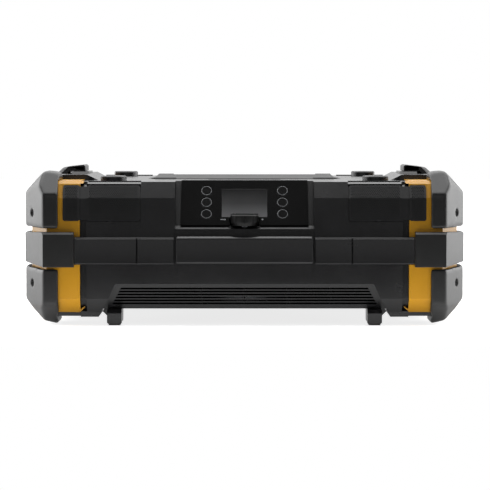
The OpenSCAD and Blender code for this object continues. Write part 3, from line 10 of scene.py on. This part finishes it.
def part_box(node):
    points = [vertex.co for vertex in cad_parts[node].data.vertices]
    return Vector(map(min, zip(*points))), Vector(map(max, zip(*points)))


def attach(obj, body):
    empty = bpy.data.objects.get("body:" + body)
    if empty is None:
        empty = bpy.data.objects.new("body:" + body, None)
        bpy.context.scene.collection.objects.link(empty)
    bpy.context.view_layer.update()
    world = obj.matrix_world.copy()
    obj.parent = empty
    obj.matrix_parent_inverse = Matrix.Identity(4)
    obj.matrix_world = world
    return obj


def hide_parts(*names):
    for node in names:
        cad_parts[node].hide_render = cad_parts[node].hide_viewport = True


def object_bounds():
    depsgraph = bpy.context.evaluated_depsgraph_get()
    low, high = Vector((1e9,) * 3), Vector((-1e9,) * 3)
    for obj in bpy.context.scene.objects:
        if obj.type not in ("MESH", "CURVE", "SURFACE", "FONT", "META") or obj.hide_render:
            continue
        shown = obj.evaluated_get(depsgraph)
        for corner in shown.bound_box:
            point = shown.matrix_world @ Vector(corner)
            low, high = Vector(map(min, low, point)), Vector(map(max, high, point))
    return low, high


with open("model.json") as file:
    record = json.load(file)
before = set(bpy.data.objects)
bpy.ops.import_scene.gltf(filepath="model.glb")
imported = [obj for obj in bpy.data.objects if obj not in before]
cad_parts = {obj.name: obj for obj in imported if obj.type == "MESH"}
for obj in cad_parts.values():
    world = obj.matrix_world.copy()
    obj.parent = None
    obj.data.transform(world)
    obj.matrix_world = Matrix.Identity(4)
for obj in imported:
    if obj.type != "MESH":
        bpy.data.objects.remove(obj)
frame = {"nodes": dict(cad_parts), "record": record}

CAD_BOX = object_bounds()
MM = 0.001
SAME_POINT = 1e-6
FLAT_ANGLE = 0.6
BUMP_DISTANCE = 0.0004
HANDLING_MARKS = 28
NODES = frame["nodes"]
NODE_BODY = {node: body for body, nodes in frame["record"]["behaviour"]["bodies"].items() for node in nodes}


# ---- Shader helpers ----
def blank(name):
    """A new material: its tree and its Principled shader."""
    material = bpy.data.materials.new(name)
    material.use_nodes = True
    tree = material.node_tree
    return material, tree, tree.nodes["Principled BSDF"]


def add(tree, kind, **settings):
    """A node of a kind, with its properties and, by socket name, its input values."""
    node = tree.nodes.new(kind)
    for key, value in settings.items():
        if hasattr(node, key):
            setattr(node, key, value)
        else:
            node.inputs[key.replace("_", " ")].default_value = value
    return node


def noise(tree, coords, scale, detail=3, roughness=0.6, stretch=(1, 1, 1)):
    """Noise over object coordinates, scale in features per metre."""
    place = add(tree, "ShaderNodeMapping")
    place.inputs["Scale"].default_value = stretch
    texture = add(tree, "ShaderNodeTexNoise", Scale=scale, Detail=detail, Roughness=roughness)
    tree.links.new(coords.outputs["Object"], place.inputs["Vector"])
    tree.links.new(place.outputs["Vector"], texture.inputs["Vector"])
    return texture.outputs["Fac"]


def spread(tree, value, low, high, start=0.3, end=0.7):
    """A value from start to end mapped to low to high."""
    node = add(tree, "ShaderNodeMapRange")
    for name, number in (("From Min", start), ("From Max", end), ("To Min", low), ("To Max", high)):
        node.inputs[name].default_value = number
    tree.links.new(value, node.inputs["Value"])
    return node.outputs["Result"]


def tint(tree, value, low, high):
    """A colour between low and high, by a value from 0 to 1."""
    ramp = add(tree, "ShaderNodeValToRGB")
    ramp.color_ramp.elements[0].position = 0.3
    ramp.color_ramp.elements[1].position = 0.7
    ramp.color_ramp.elements[0].color = (*low, 1)
    ramp.color_ramp.elements[1].color = (*high, 1)
    tree.links.new(value, ramp.inputs["Fac"])
    return ramp.outputs["Color"]


def shade(colour, factor):
    return tuple(min(1, channel * factor) for channel in colour)


def moulded(name, colour, roughness, specular=0.5, grain=900, depth=0.1, mottle=0.12, coat=0.0,
            coat_roughness=0.1, stretch=(1, 1, 1), metallic=0.0):
    """Moulded plastic or rubber: fine grain in its bump, broad handling marks in colour and roughness."""
    material, tree, shader = blank(name)
    coords = add(tree, "ShaderNodeTexCoord")
    broad = noise(tree, coords, HANDLING_MARKS, 5, 0.65, stretch)
    fine = noise(tree, coords, grain, 2, 0.5, stretch)
    paint = tint(tree, broad, shade(colour, 1 - mottle), shade(colour, 1 + mottle))
    tree.links.new(paint, shader.inputs["Base Color"])
    tree.links.new(spread(tree, broad, roughness * 0.9, min(1, roughness * 1.1)), shader.inputs["Roughness"])
    shader.inputs["Specular IOR Level"].default_value = specular
    shader.inputs["Coat Weight"].default_value = coat
    shader.inputs["Coat Roughness"].default_value = coat_roughness
    shader.inputs["Metallic"].default_value = metallic
    bump = add(tree, "ShaderNodeBump", Strength=depth, Distance=BUMP_DISTANCE)
    tree.links.new(fine, bump.inputs["Height"])
    tree.links.new(bump.outputs["Normal"], shader.inputs["Normal"])
    return material


def display_glass():
    """Clear window over a grey display; its colour is paler towards its lower edge, a painted reflection of the
    gradient that the glass mirrors.
    """
    material, tree, shader = blank("display_glass")
    coords = add(tree, "ShaderNodeTexCoord")
    axes = add(tree, "ShaderNodeSeparateXYZ")
    tree.links.new(coords.outputs["Object"], axes.inputs["Vector"])
    low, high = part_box("display_window")
    height = spread(tree, axes.outputs["Z"], 0, 1, low.z, high.z)
    # Painted reflection: the base colour runs from pale grey at the lower edge to near black at the top, standing in
    # for what the glass mirrors.
    ramp = add(tree, "ShaderNodeValToRGB")
    for spot, (place, level) in zip(range(2), ((0.0, 0.15), (1.0, 0.01))):
        ramp.color_ramp.elements[spot].position = place
        ramp.color_ramp.elements[spot].color = (level, level, level * 1.03, 1)
    painted_reflection_middle = ramp.color_ramp.elements.new(0.5)
    painted_reflection_middle.color = (0.05, 0.05, 0.051, 1)
    tree.links.new(height, ramp.inputs["Fac"])
    tree.links.new(ramp.outputs["Color"], shader.inputs["Base Color"])
    smears = noise(tree, coords, 60, 4, 0.6)
    tree.links.new(spread(tree, smears, 0.1, 0.18), shader.inputs["Roughness"])
    return material


# ---- Materials, one for each slot ----
MATERIALS = {
    "body_black": moulded("body_black", (0.009, 0.009, 0.0095), 0.25, 0.5),
    "cap_yellow": moulded("cap_yellow", (0.52, 0.25, 0.008), 0.3, 0.35, mottle=0.05),
    "guard_rubber": moulded("guard_rubber", (0.009, 0.009, 0.009), 0.34, 0.5, grain=700, depth=0.2),
    "rail_black": moulded("rail_black", (0.009, 0.009, 0.0095), 0.25, 0.5),
    "grille_black": moulded("grille_black", (0.008, 0.008, 0.0085), 0.4, 0.4),
    "button_black": moulded("button_black", (0.006, 0.006, 0.006), 0.12, 0.5, grain=300, depth=0.02),
    "panel_gloss": moulded("panel_gloss", (0.006, 0.006, 0.006), 0.08, 0.5, grain=60, depth=0.01, mottle=0.05),
    "display_glass": display_glass(),
    "display_metal": moulded("display_metal", (0.45, 0.46, 0.47), 0.35, metallic=1.0, grain=500),
    "board_green": moulded("board_green", (0.02, 0.10, 0.045), 0.35, 0.5),
    "knob_black": moulded("knob_black", (0.004, 0.004, 0.004), 0.45, 0.3),
    "steel": moulded("steel", (0.45, 0.46, 0.48), 0.35, metallic=1.0, stretch=(1, 6, 1)),
    "cone_black": moulded("cone_black", (0.015, 0.015, 0.015), 0.8, 0.3, grain=400, depth=0.3),
    "handle_black": moulded("handle_black", (0.012, 0.012, 0.0125), 0.38, 0.4, coat=0.1, coat_roughness=0.3),
    "bay_black": moulded("bay_black", (0.012, 0.012, 0.0125), 0.5, 0.4),
    "contact_brass": moulded("contact_brass", (0.55, 0.40, 0.18), 0.3, metallic=1.0),
    "print_grey": moulded("print_grey", (0.27, 0.28, 0.29), 0.5, 0.4, grain=1200, depth=0.02),
    "screw_black": moulded("screw_black", (0.006, 0.006, 0.0065), 0.6, 0.08),
    "pad_rubber": moulded("pad_rubber", (0.012, 0.012, 0.012), 0.75, 0.3, grain=500, depth=0.3),
}


# ---- Edges ----
def smoothing_group():
    """Geometry nodes that shade smooth except over edges sharper than the given angle."""
    group = bpy.data.node_groups.new("smooth_by_angle", "GeometryNodeTree")
    group.interface.new_socket("Geometry", in_out="INPUT", socket_type="NodeSocketGeometry")
    group.interface.new_socket("Angle", in_out="INPUT", socket_type="NodeSocketFloat")
    group.interface.new_socket("Geometry", in_out="OUTPUT", socket_type="NodeSocketGeometry")
    start = group.nodes.new("NodeGroupInput")
    end = group.nodes.new("NodeGroupOutput")
    faces = group.nodes.new("GeometryNodeSetShadeSmooth")
    edges = group.nodes.new("GeometryNodeSetShadeSmooth")
    edges.domain = "EDGE"
    angle = group.nodes.new("GeometryNodeInputMeshEdgeAngle")
    gentle = group.nodes.new("FunctionNodeCompare")
    gentle.data_type = "FLOAT"
    gentle.operation = "LESS_THAN"
    link = group.links.new
    link(start.outputs["Geometry"], faces.inputs["Geometry"])
    link(faces.outputs["Geometry"], edges.inputs["Geometry"])
    link(angle.outputs["Unsigned Angle"], gentle.inputs["A"])
    link(start.outputs["Angle"], gentle.inputs["B"])
    link(gentle.outputs["Result"], edges.inputs["Shade Smooth"])
    link(edges.outputs["Geometry"], end.inputs["Geometry"])
    return group


GUARD_SMOOTHING = 17
HOLE_CLEAR = (4.6, 7.0)


def rounding_group():
    """Geometry nodes that round a mesh by blurring its positions, except near a given point."""
    group = bpy.data.node_groups.new("rounding", "GeometryNodeTree")
    group.interface.new_socket("Geometry", in_out="INPUT", socket_type="NodeSocketGeometry")
    group.interface.new_socket("Hole", in_out="INPUT", socket_type="NodeSocketVector")
    group.interface.new_socket("Geometry", in_out="OUTPUT", socket_type="NodeSocketGeometry")
    start = group.nodes.new("NodeGroupInput")
    end = group.nodes.new("NodeGroupOutput")
    place = group.nodes.new("GeometryNodeInputPosition")
    moved = group.nodes.new("GeometryNodeSetPosition")
    blur = group.nodes.new("GeometryNodeBlurAttribute")
    blur.data_type = "FLOAT_VECTOR"
    blur.inputs["Iterations"].default_value = GUARD_SMOOTHING
    apart = group.nodes.new("ShaderNodeVectorMath")
    apart.operation = "DISTANCE"
    link = group.links.new
    link(place.outputs["Position"], apart.inputs[0])
    link(start.outputs["Hole"], apart.inputs[1])
    weight = spread(group, apart.outputs["Value"], 0, 1, HOLE_CLEAR[0] * MM, HOLE_CLEAR[1] * MM)
    vector = next(socket for socket in blur.inputs if socket.type == "VECTOR")
    link(place.outputs["Position"], vector)
    link(weight, blur.inputs["Weight"])
    link(start.outputs["Geometry"], moved.inputs["Geometry"])
    link(next(socket for socket in blur.outputs if socket.type == "VECTOR"), moved.inputs["Position"])
    link(moved.outputs["Geometry"], end.inputs["Geometry"])
    return group


SMOOTHING = smoothing_group()
ROUNDING = rounding_group()


def smooth(obj, angle=32):
    shading = obj.modifiers.new("smooth", "NODES")
    shading.node_group = SMOOTHING
    shading["Socket_1"] = math.radians(angle)
    weighted = obj.modifiers.new("weighted", "WEIGHTED_NORMAL")
    weighted.keep_sharp = True


def soften(node, width, segments=2, angle=24):
    """Rounds the sharp edges of a CAD node by a width in millimetres."""
    obj = NODES[node]
    weld = obj.modifiers.new("weld", "WELD")
    weld.merge_threshold = SAME_POINT
    if width:
        flat = obj.modifiers.new("flat", "DECIMATE")
        flat.decimate_type = "DISSOLVE"
        flat.angle_limit = math.radians(FLAT_ANGLE)
        edge = obj.modifiers.new("edge", "BEVEL")
        edge.width = width * MM
        edge.segments = segments
        edge.limit_method = "ANGLE"
        edge.angle_limit = math.radians(angle)
        edge.miter_outer = "MITER_ARC"
    smooth(obj)


FINE_EDGE = 0.3
SOFT_EDGES = {"top_housing": 0.6, "base_housing": 0.8, "carry_handle": 1.0, "front_louvre": 0, "control_pod": 1.0}
for name, obj in NODES.items():
    slot_name = next(row["material_slot"] for row in frame["record"]["subparts"] if row["node"] == name)
    obj.data.materials.clear()
    obj.data.materials.append(MATERIALS[slot_name])
    if name.endswith("mid_guard"):
        soften(name, 0.7, 3, 20)
    elif name.endswith("rail"):
        soften(name, 1.3, 3)
    elif name.endswith(("cap", "latch")):
        soften(name, 0.8, 2)
    elif not name.endswith("_guard"):
        soften(name, SOFT_EDGES.get(name, FINE_EDGE), 2)


# ---- Fine pieces ----
def piece(name, mesh, slot_name, body):
    """A new object of the part, with its material and the body that it rides on."""
    obj = bpy.data.objects.new(name, mesh)
    bpy.context.collection.objects.link(obj)
    mesh.materials.append(MATERIALS[slot_name])
    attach(obj, body)
    return obj


def facing(node, normal, depth=0.00005):
    """The frame of a node's outermost face along a normal that has no x: its centre, x, up and normal."""
    normal = Vector(normal).normalized()
    points = [vertex.co for vertex in NODES[node].data.vertices]
    reach = max(point.dot(normal) for point in points)
    face = [point for point in points if reach - point.dot(normal) < depth]
    across = Vector((1, 0, 0))
    up = normal.cross(across)
    low_x, high_x = min(p.x for p in face), max(p.x for p in face)
    low_u, high_u = min(p.dot(up) for p in face), max(p.dot(up) for p in face)
    centre = across * (low_x + high_x) / 2 + up * (low_u + high_u) / 2 + normal * reach
    return Matrix.Translation(centre) @ Matrix((across, up, normal)).transposed().to_4x4()


def turned(profile, steps=48):
    """A closed band turned round z from (radius, height) points."""
    mesh = bpy.data.meshes.new("band")
    count = len(profile)
    points = [(r * math.cos(a), r * math.sin(a), z) for a in (2 * math.pi * i / steps for i in range(steps))
              for r, z in profile]
    faces = [(i * count + k, ((i + 1) % steps) * count + k, ((i + 1) % steps) * count + (k + 1) % count,
              i * count + (k + 1) % count) for i in range(steps) for k in range(count)]
    mesh.from_pydata(points, [], faces)
    for face in mesh.polygons:
        face.use_smooth = True
    return mesh


RING_PROFILE = [(5.1, -0.26), (5.13, -0.18), (4.8, 0.04), (4.7, 0.04), (4.7, -0.02), (4.76, -0.02)]
GRILLE_W = 77.9
GRILLE_RIM = 1.6
GRILLE_ROW = 1.75
GRILLE_PITCH = 2.0
GRILLE_HOLE_R = 0.62
GRILLE_SHEET = 1.0
GRILLE_SINK = 0.7
GRILLE_EDGE = 0.9
BACKING_SINK = 1.75
BACKING_SHEET = 0.2
GRILLE_CORNER = 0.6
GROOVE = (163.2, 155.8)
MARK_LOW = -20
PANEL_NORMAL = (0, -math.cos(math.radians(33.448)), math.sin(math.radians(33.448)))


def button_rings():
    """A printed ring round each button's face."""
    for node in NODES:
        if node.endswith("_button"):
            mesh = turned([(r * MM, z * MM) for r, z in RING_PROFILE])
            mesh.transform(facing(node, PANEL_NORMAL))
            piece(node + "_ring", mesh, "print_grey", NODE_BODY[node])


def folded(node):
    """How far a grille's two faces reach up it, and a function that gives its points."""
    low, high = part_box(node)
    side = 1 if low.y < 0 else -1
    face_y = min(low.y * side, high.y * side)
    points = [vertex.co for vertex in NODES[node].data.vertices]
    fold = max(p.z for p in points if abs(p.y * side - face_y) < 1e-5)
    crown = min(p.y * side for p in points if high.z - p.z < 1e-5)
    lean = math.atan2(crown - face_y, high.z - fold)
    start = low.z + GRILLE_EDGE * MM
    reach = (fold - start, (high.z - fold) / math.cos(lean) - GRILLE_EDGE * MM)

    def place(x, s, depth):
        """The point at a distance up the plate and a depth behind its face."""
        up = s - reach[0]
        if abs(up) < 1e-7:
            return x, (face_y + depth) * side, fold - depth * math.tan(lean / 2)
        if up < 0:
            return x, (face_y + depth) * side, start + s
        return (x, (face_y + up * math.sin(lean) + depth * math.cos(lean)) * side,
                fold + up * math.cos(lean) - depth * math.sin(lean))

    return reach, place, side


def backing(node, left, right):
    """The thin black screen glued behind a perforated plate."""
    reach, place, side = folded(node)
    rim = GRILLE_RIM * MM / 2
    stops = (rim, reach[0], sum(reach) - rim)
    outline = [(s, BACKING_SINK) for s in stops] + [(s, BACKING_SINK + BACKING_SHEET) for s in reversed(stops)]
    count = len(outline)
    verts = [place(x, s, depth * MM) for x in (left + rim, right - rim) for s, depth in outline]
    faces = [(k, (k + 1) % count, count + (k + 1) % count, count + k) for k in range(count)]
    for start, order in ((0, -1), (count, 1)):
        faces += [tuple(start + k for k in (0, 1, 4, 5))[::order], tuple(start + k for k in (1, 2, 3, 4))[::order]]
    data = bpy.data.meshes.new(node + "_backing")
    data.from_pydata(verts, [], faces)
    if side > 0:
        data.flip_normals()
    return data


def perforated(node, left, right):
    """A folded plate of fine holes over a grille's two faces, between two x, with its rim left whole."""
    reach, place, side = folded(node)
    top = sum(reach)
    rim = GRILLE_RIM * MM
    radius = GRILLE_HOLE_R * MM
    rows = []
    for start, length in ((rim, reach[0] - rim), (reach[0], reach[1] - rim)):
        count = round(length / (GRILLE_ROW * MM))
        rows += [(start + length * i / count, start + length * (i + 1) / count) for i in range(count)]
    columns = round((right - left - 2 * rim) / (GRILLE_PITCH * MM))
    half = (right - left - 2 * rim) / columns / 2
    stops = [left + rim + half * i for i in range(2 * columns + 1)]
    heights = [rows[0][0]] + [s for low_s, high_s in rows for s in ((low_s + high_s) / 2, high_s)]
    verts, index, faces = [], {}, []

    def face(outline):
        for point in outline:
            key = (round(point[0], 7), round(point[1], 7))
            if key not in index:
                index[key] = len(verts)
                verts.append(point)
        faces.append([index[(round(x, 7), round(s, 7))] for x, s in outline])

    for number, (low_s, high_s) in enumerate(rows):
        mid_s = (low_s + high_s) / 2
        shift = number % 2
        for column in range(columns - shift):
            x0, mid_x, x1 = stops[2 * column + shift:2 * column + shift + 3]
            outer = [(x1, mid_s), (x1, high_s), (mid_x, high_s), (x0, high_s), (x0, mid_s), (x0, low_s),
                     (mid_x, low_s), (x1, low_s)]
            inner = [(mid_x + radius * math.cos(math.pi * k / 4), mid_s + radius * math.sin(math.pi * k / 4))
                     for k in range(8)]
            for k in range(8):
                face([inner[k], outer[k], outer[(k + 1) % 8], inner[(k + 1) % 8]])
        if shift:
            for x0, x1 in (stops[:2], stops[-2:]):
                face([(x0, low_s), (x1, low_s), (x1, mid_s), (x1, high_s), (x0, high_s), (x0, mid_s)])
    for s0, s1 in zip(heights, heights[1:]):
        face([(left, s0), (stops[0], s0), (stops[0], s1), (left, s1)])
        face([(stops[-1], s0), (right, s0), (right, s1), (stops[-1], s1)])
    for x0, x1 in zip(stops, stops[1:]):
        face([(x0, 0), (x1, 0), (x1, heights[0]), (x0, heights[0])])
        face([(x0, heights[-1]), (x1, heights[-1]), (x1, top), (x0, top)])
    cut = GRILLE_CORNER * MM
    for x, inner_x, inward in ((left, stops[0], cut), (right, stops[-1], -cut)):
        for s, inner_s, up in ((0, heights[0], cut), (top, heights[-1], -cut)):
            outline = [(x, inner_s), (x + inward, s + up), (inner_x, s), (inner_x, inner_s)]
            face(outline if (inward > 0) == (up > 0) else outline[::-1])
    edges = {}
    for row in faces:
        for a, b in zip(row, row[1:] + row[:1]):
            edges[(a, b)] = True
    count = len(verts)
    walls = [(b, a, a + count, b + count) for a, b in edges if (b, a) not in edges]
    backs = [[v + count for v in reversed(row)] for row in faces]
    data = bpy.data.meshes.new(node + "_mesh")
    depths = (GRILLE_SINK, GRILLE_SINK + GRILLE_SHEET)
    data.from_pydata([place(x, s, depth * MM) for depth in depths for x, s in verts], [], faces + walls + backs)
    if side < 0:
        data.flip_normals()
    return data


def grille_meshes():
    for node in ("front_grilles", "rear_grilles"):
        low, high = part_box(node)
        for name, left, right in (("left", low.x, low.x + GRILLE_W * MM), ("right", high.x - GRILLE_W * MM, high.x)):
            left, right = left + GRILLE_EDGE * MM, right - GRILLE_EDGE * MM
            side = -1 if name == "left" else 1
            outer, inner = (x * side * MM for x in GROOVE)
            plates = ((left, outer), (inner, right)) if side < 0 else ((left, inner), (outer, right))
            pieces = [("backing", backing(node, left, right))]
            pieces += [("mesh_" + "ab"[k], perforated(node, *ends)) for k, ends in enumerate(plates)]
            for kind, data in pieces:
                obj = piece(node + "_" + name + "_" + kind, data, "grille_black", NODE_BODY[node])
                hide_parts(node)


def panel_marks():
    """Two small generic printed signs below the display: a bar and a dot."""
    base = facing("control_panel", PANEL_NORMAL)
    for name, x, half_w, half_h in (("bar", -21.2, 2.7, 0.55), ("dot", 17.8, 0.8, 0.8)):
        mesh = bpy.data.meshes.new("mark")
        count = 16
        outline = []
        for k in range(count):
            a = 2 * math.pi * k / count
            outline.append((x + math.copysign(abs(math.cos(a)) ** 0.5, math.cos(a)) * half_w,
                            MARK_LOW + math.copysign(abs(math.sin(a)) ** 0.5, math.sin(a)) * half_h))
        points = [(px * MM, py * MM, z * MM) for z in (-0.02, 0.04) for px, py in outline]
        faces = [tuple(range(count, 2 * count))]
        faces += [(k, (k + 1) % count, count + (k + 1) % count, count + k) for k in range(count)]
        mesh.from_pydata(points, [], faces)
        mesh.transform(base)
        piece("panel_mark_" + name, mesh, "print_grey", NODE_BODY["control_panel"])


GUARD_LEANS = (("top_guard", 33), ("bottom_guard", -28))
GUARD_SLANT = (21, 40)
GUARD_WALL = 2.0
GUARD_VOXEL = 0.9
HOLE_REACH = 3.4
HOLE_GROWTH = 0.15


def guard_shape(node, lean):
    """A corner guard's mesh, cut so that it leans in over the cap's corner, and the mouth of its screw hole."""
    low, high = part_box(node)
    side = Vector((1 if high.x > 0 else -1, 1 if high.y > 0 else -1, 1))
    flat = Vector((GUARD_SLANT[1], GUARD_SLANT[0], 0)).normalized()
    slope = math.radians(lean)
    normal = (flat * math.cos(slope) + Vector((0, 0, math.sin(slope)))) * side
    cap = NODES["right_end_cap" if side.x > 0 else "left_end_cap"].data
    reach = max(v.co.dot(normal) for v in cap.vertices if v.co.y * side.y > 0) + GUARD_WALL * MM
    bm = bmesh.new()
    bm.from_mesh(NODES[node].data)
    bmesh.ops.remove_doubles(bm, verts=bm.verts, dist=SAME_POINT)
    cut = bmesh.ops.bisect_plane(bm, geom=bm.verts[:] + bm.edges[:] + bm.faces[:], dist=1e-7,
                                 plane_co=normal * reach, plane_no=normal, clear_outer=True)
    rim = [item for item in cut["geom_cut"] if isinstance(item, bmesh.types.BMEdge)]
    bmesh.ops.contextual_create(bm, geom=rim)
    screw = [v.co for v in NODES["guard_screws"].data.vertices
             if v.co.x * side.x > 0 and v.co.y * side.y > 0 and low.z < v.co.z < high.z]
    centre = sum(screw, Vector()) / len(screw)
    face = max(v.co.dot(flat * side) for v in bm.verts)
    hole = centre + flat * side * (face - centre.dot(flat * side))
    for vert in bm.verts:
        offset = vert.co - centre
        radial = offset - flat * side * offset.dot(flat * side)
        if radial.length < HOLE_REACH * MM:
            vert.co += radial * HOLE_GROWTH
    data = bpy.data.meshes.new(node + "_shape")
    bm.to_mesh(data)
    bm.free()
    return data, hole


def guard_pieces():
    for node in list(NODES):
        for ending, lean in GUARD_LEANS:
            if node.endswith(ending):
                data, hole = guard_shape(node, lean)
                obj = piece(node + "_shape", data, "guard_rubber", NODE_BODY[node])
                cells = obj.modifiers.new("cells", "REMESH")
                cells.mode = "VOXEL"
                cells.voxel_size = GUARD_VOXEL * MM
                cells.use_smooth_shade = True
                rounding = obj.modifiers.new("rounding", "NODES")
                rounding.node_group = ROUNDING
                rounding["Socket_1"] = hole
                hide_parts(node)


button_rings()
guard_pieces()
grille_meshes()
panel_marks()


# ---- Studio ----
def plane(name, half_w, front, back, z):
    mesh = bpy.data.meshes.new(name)
    corners = [(-half_w, front, z), (half_w, front, z), (half_w, back, z), (-half_w, back, z)]
    mesh.from_pydata(corners, [], [(0, 1, 2, 3)])
    obj = bpy.data.objects.new(name, mesh)
    bpy.context.collection.objects.link(obj)
    return obj


FLOOR_COLOUR = (0.7, 0.7, 0.7, 1)
FLOOR_GLOW = (0.8, 1.0)
FLOOR_FADE = (0.28, 0.5)
FLOOR_GLOSS = 0.5
FLOOR_REACH = 6
FLOOR_FRONT = -0.36
FLOOR_DROP = 0.0005


def floor_material():
    """Pale floor that keeps the object's shadow: it fades to white for the camera and is half as bright in gloss."""
    material, tree, shader = blank("floor_white")
    tree.nodes.remove(shader)
    coords = add(tree, "ShaderNodeTexCoord")
    length = add(tree, "ShaderNodeVectorMath", operation="LENGTH")
    tree.links.new(coords.outputs["Object"], length.inputs[0])
    fade = spread(tree, length.outputs["Value"], *FLOOR_GLOW, *FLOOR_FADE)
    path = add(tree, "ShaderNodeLightPath")
    seen = add(tree, "ShaderNodeMath", operation="MULTIPLY")
    tree.links.new(fade, seen.inputs[0])
    tree.links.new(path.outputs["Is Camera Ray"], seen.inputs[1])
    strength = add(tree, "ShaderNodeMath", operation="MAXIMUM")
    tree.links.new(seen.outputs["Value"], strength.inputs[0])
    gloss = add(tree, "ShaderNodeMath", operation="MULTIPLY")
    gloss.inputs[1].default_value = FLOOR_GLOSS
    tree.links.new(path.outputs["Is Glossy Ray"], gloss.inputs[0])
    tree.links.new(gloss.outputs["Value"], strength.inputs[1])
    white = add(tree, "ShaderNodeEmission")
    tree.links.new(strength.outputs["Value"], white.inputs["Strength"])
    diffuse = add(tree, "ShaderNodeBsdfDiffuse", Color=FLOOR_COLOUR)
    both = add(tree, "ShaderNodeAddShader")
    tree.links.new(diffuse.outputs["BSDF"], both.inputs[0])
    tree.links.new(white.outputs["Emission"], both.inputs[1])
    tree.links.new(both.outputs["Shader"], tree.nodes["Material Output"].inputs["Surface"])
    return material


floor = plane("floor", FLOOR_REACH, FLOOR_FRONT, FLOOR_REACH, -FLOOR_DROP)
floor.data.materials.append(floor_material())


def area_light(name, place, target, size, power):
    data = bpy.data.lights.new(name, "AREA")
    data.shape = "RECTANGLE"
    data.size, data.size_y = size
    data.energy = power
    obj = bpy.data.objects.new(name, data)
    bpy.context.collection.objects.link(obj)
    obj.location = place
    obj.rotation_euler = (Vector(target) - Vector(place)).to_track_quat("-Z", "Y").to_euler()
    return obj


SIDE_SIZE = (1.9, 1.2)
SIDE_POWER = 19
area_light("top_softbox", (0, 0.375, 1.7), (0, 0.1, 0.1), (2.6, 2.35), 46)
area_light("left_softbox", (-1.5, 0.55, 0.55), (0, 0.2, 0.1), SIDE_SIZE, SIDE_POWER)
area_light("right_softbox", (1.5, 0.55, 0.55), (0, 0.2, 0.1), SIDE_SIZE, SIDE_POWER)
fill = area_light("floor_fill", (0, -0.2, 0.002), (0, -0.2, 1), (0.46, 0.06), 0.18)
fill.visible_camera = False
fill.visible_glossy = False
area_light("front_card", (0, -2.9, 0.9), (0, 0, 0.1), (4.0, 1.6), 7.6)


ROOM_LEVEL = 0.1


def studio_world():
    """White behind the object and to the camera, dim in front of it, as a white cove before a dark room."""
    world = bpy.data.worlds.new("studio")
    bpy.context.scene.world = world
    world.use_nodes = True
    tree = world.node_tree
    background = tree.nodes["Background"]
    background.inputs["Color"].default_value = (1, 1, 1, 1)
    coords = add(tree, "ShaderNodeTexCoord")
    axes = add(tree, "ShaderNodeSeparateXYZ")
    tree.links.new(coords.outputs["Generated"], axes.inputs["Vector"])
    ambient = spread(tree, axes.outputs["Y"], ROOM_LEVEL, 1.0, -0.3, 0.1)
    path = add(tree, "ShaderNodeLightPath")
    level = add(tree, "ShaderNodeMath", operation="MAXIMUM")
    tree.links.new(ambient, level.inputs[0])
    tree.links.new(path.outputs["Is Camera Ray"], level.inputs[1])
    tree.links.new(level.outputs["Value"], background.inputs["Strength"])


studio_world()

# ---- Camera at the photograph's viewpoint ----
CAMERA_DISTANCE = 2.2
CAMERA_HEIGHT = 0.19554
CAMERA_PITCH = 3
FOCAL_PIXELS = 2237
FRAME_PIXELS = 490
CENTRE_X = 244.5
camera_data = bpy.data.cameras.new("camera")
camera_data.sensor_width = 36
camera_data.lens = FOCAL_PIXELS / FRAME_PIXELS * camera_data.sensor_width
camera_data.shift_x = (FRAME_PIXELS / 2 - CENTRE_X) / FRAME_PIXELS
camera = bpy.data.objects.new("camera", camera_data)
bpy.context.collection.objects.link(camera)
camera.location = (0, CAD_BOX[0].y - CAMERA_DISTANCE, CAMERA_HEIGHT)
camera.rotation_euler = (math.radians(90 - CAMERA_PITCH), 0, 0)
bpy.context.scene.camera = camera
bpy.context.scene.view_settings.view_transform = "Standard"
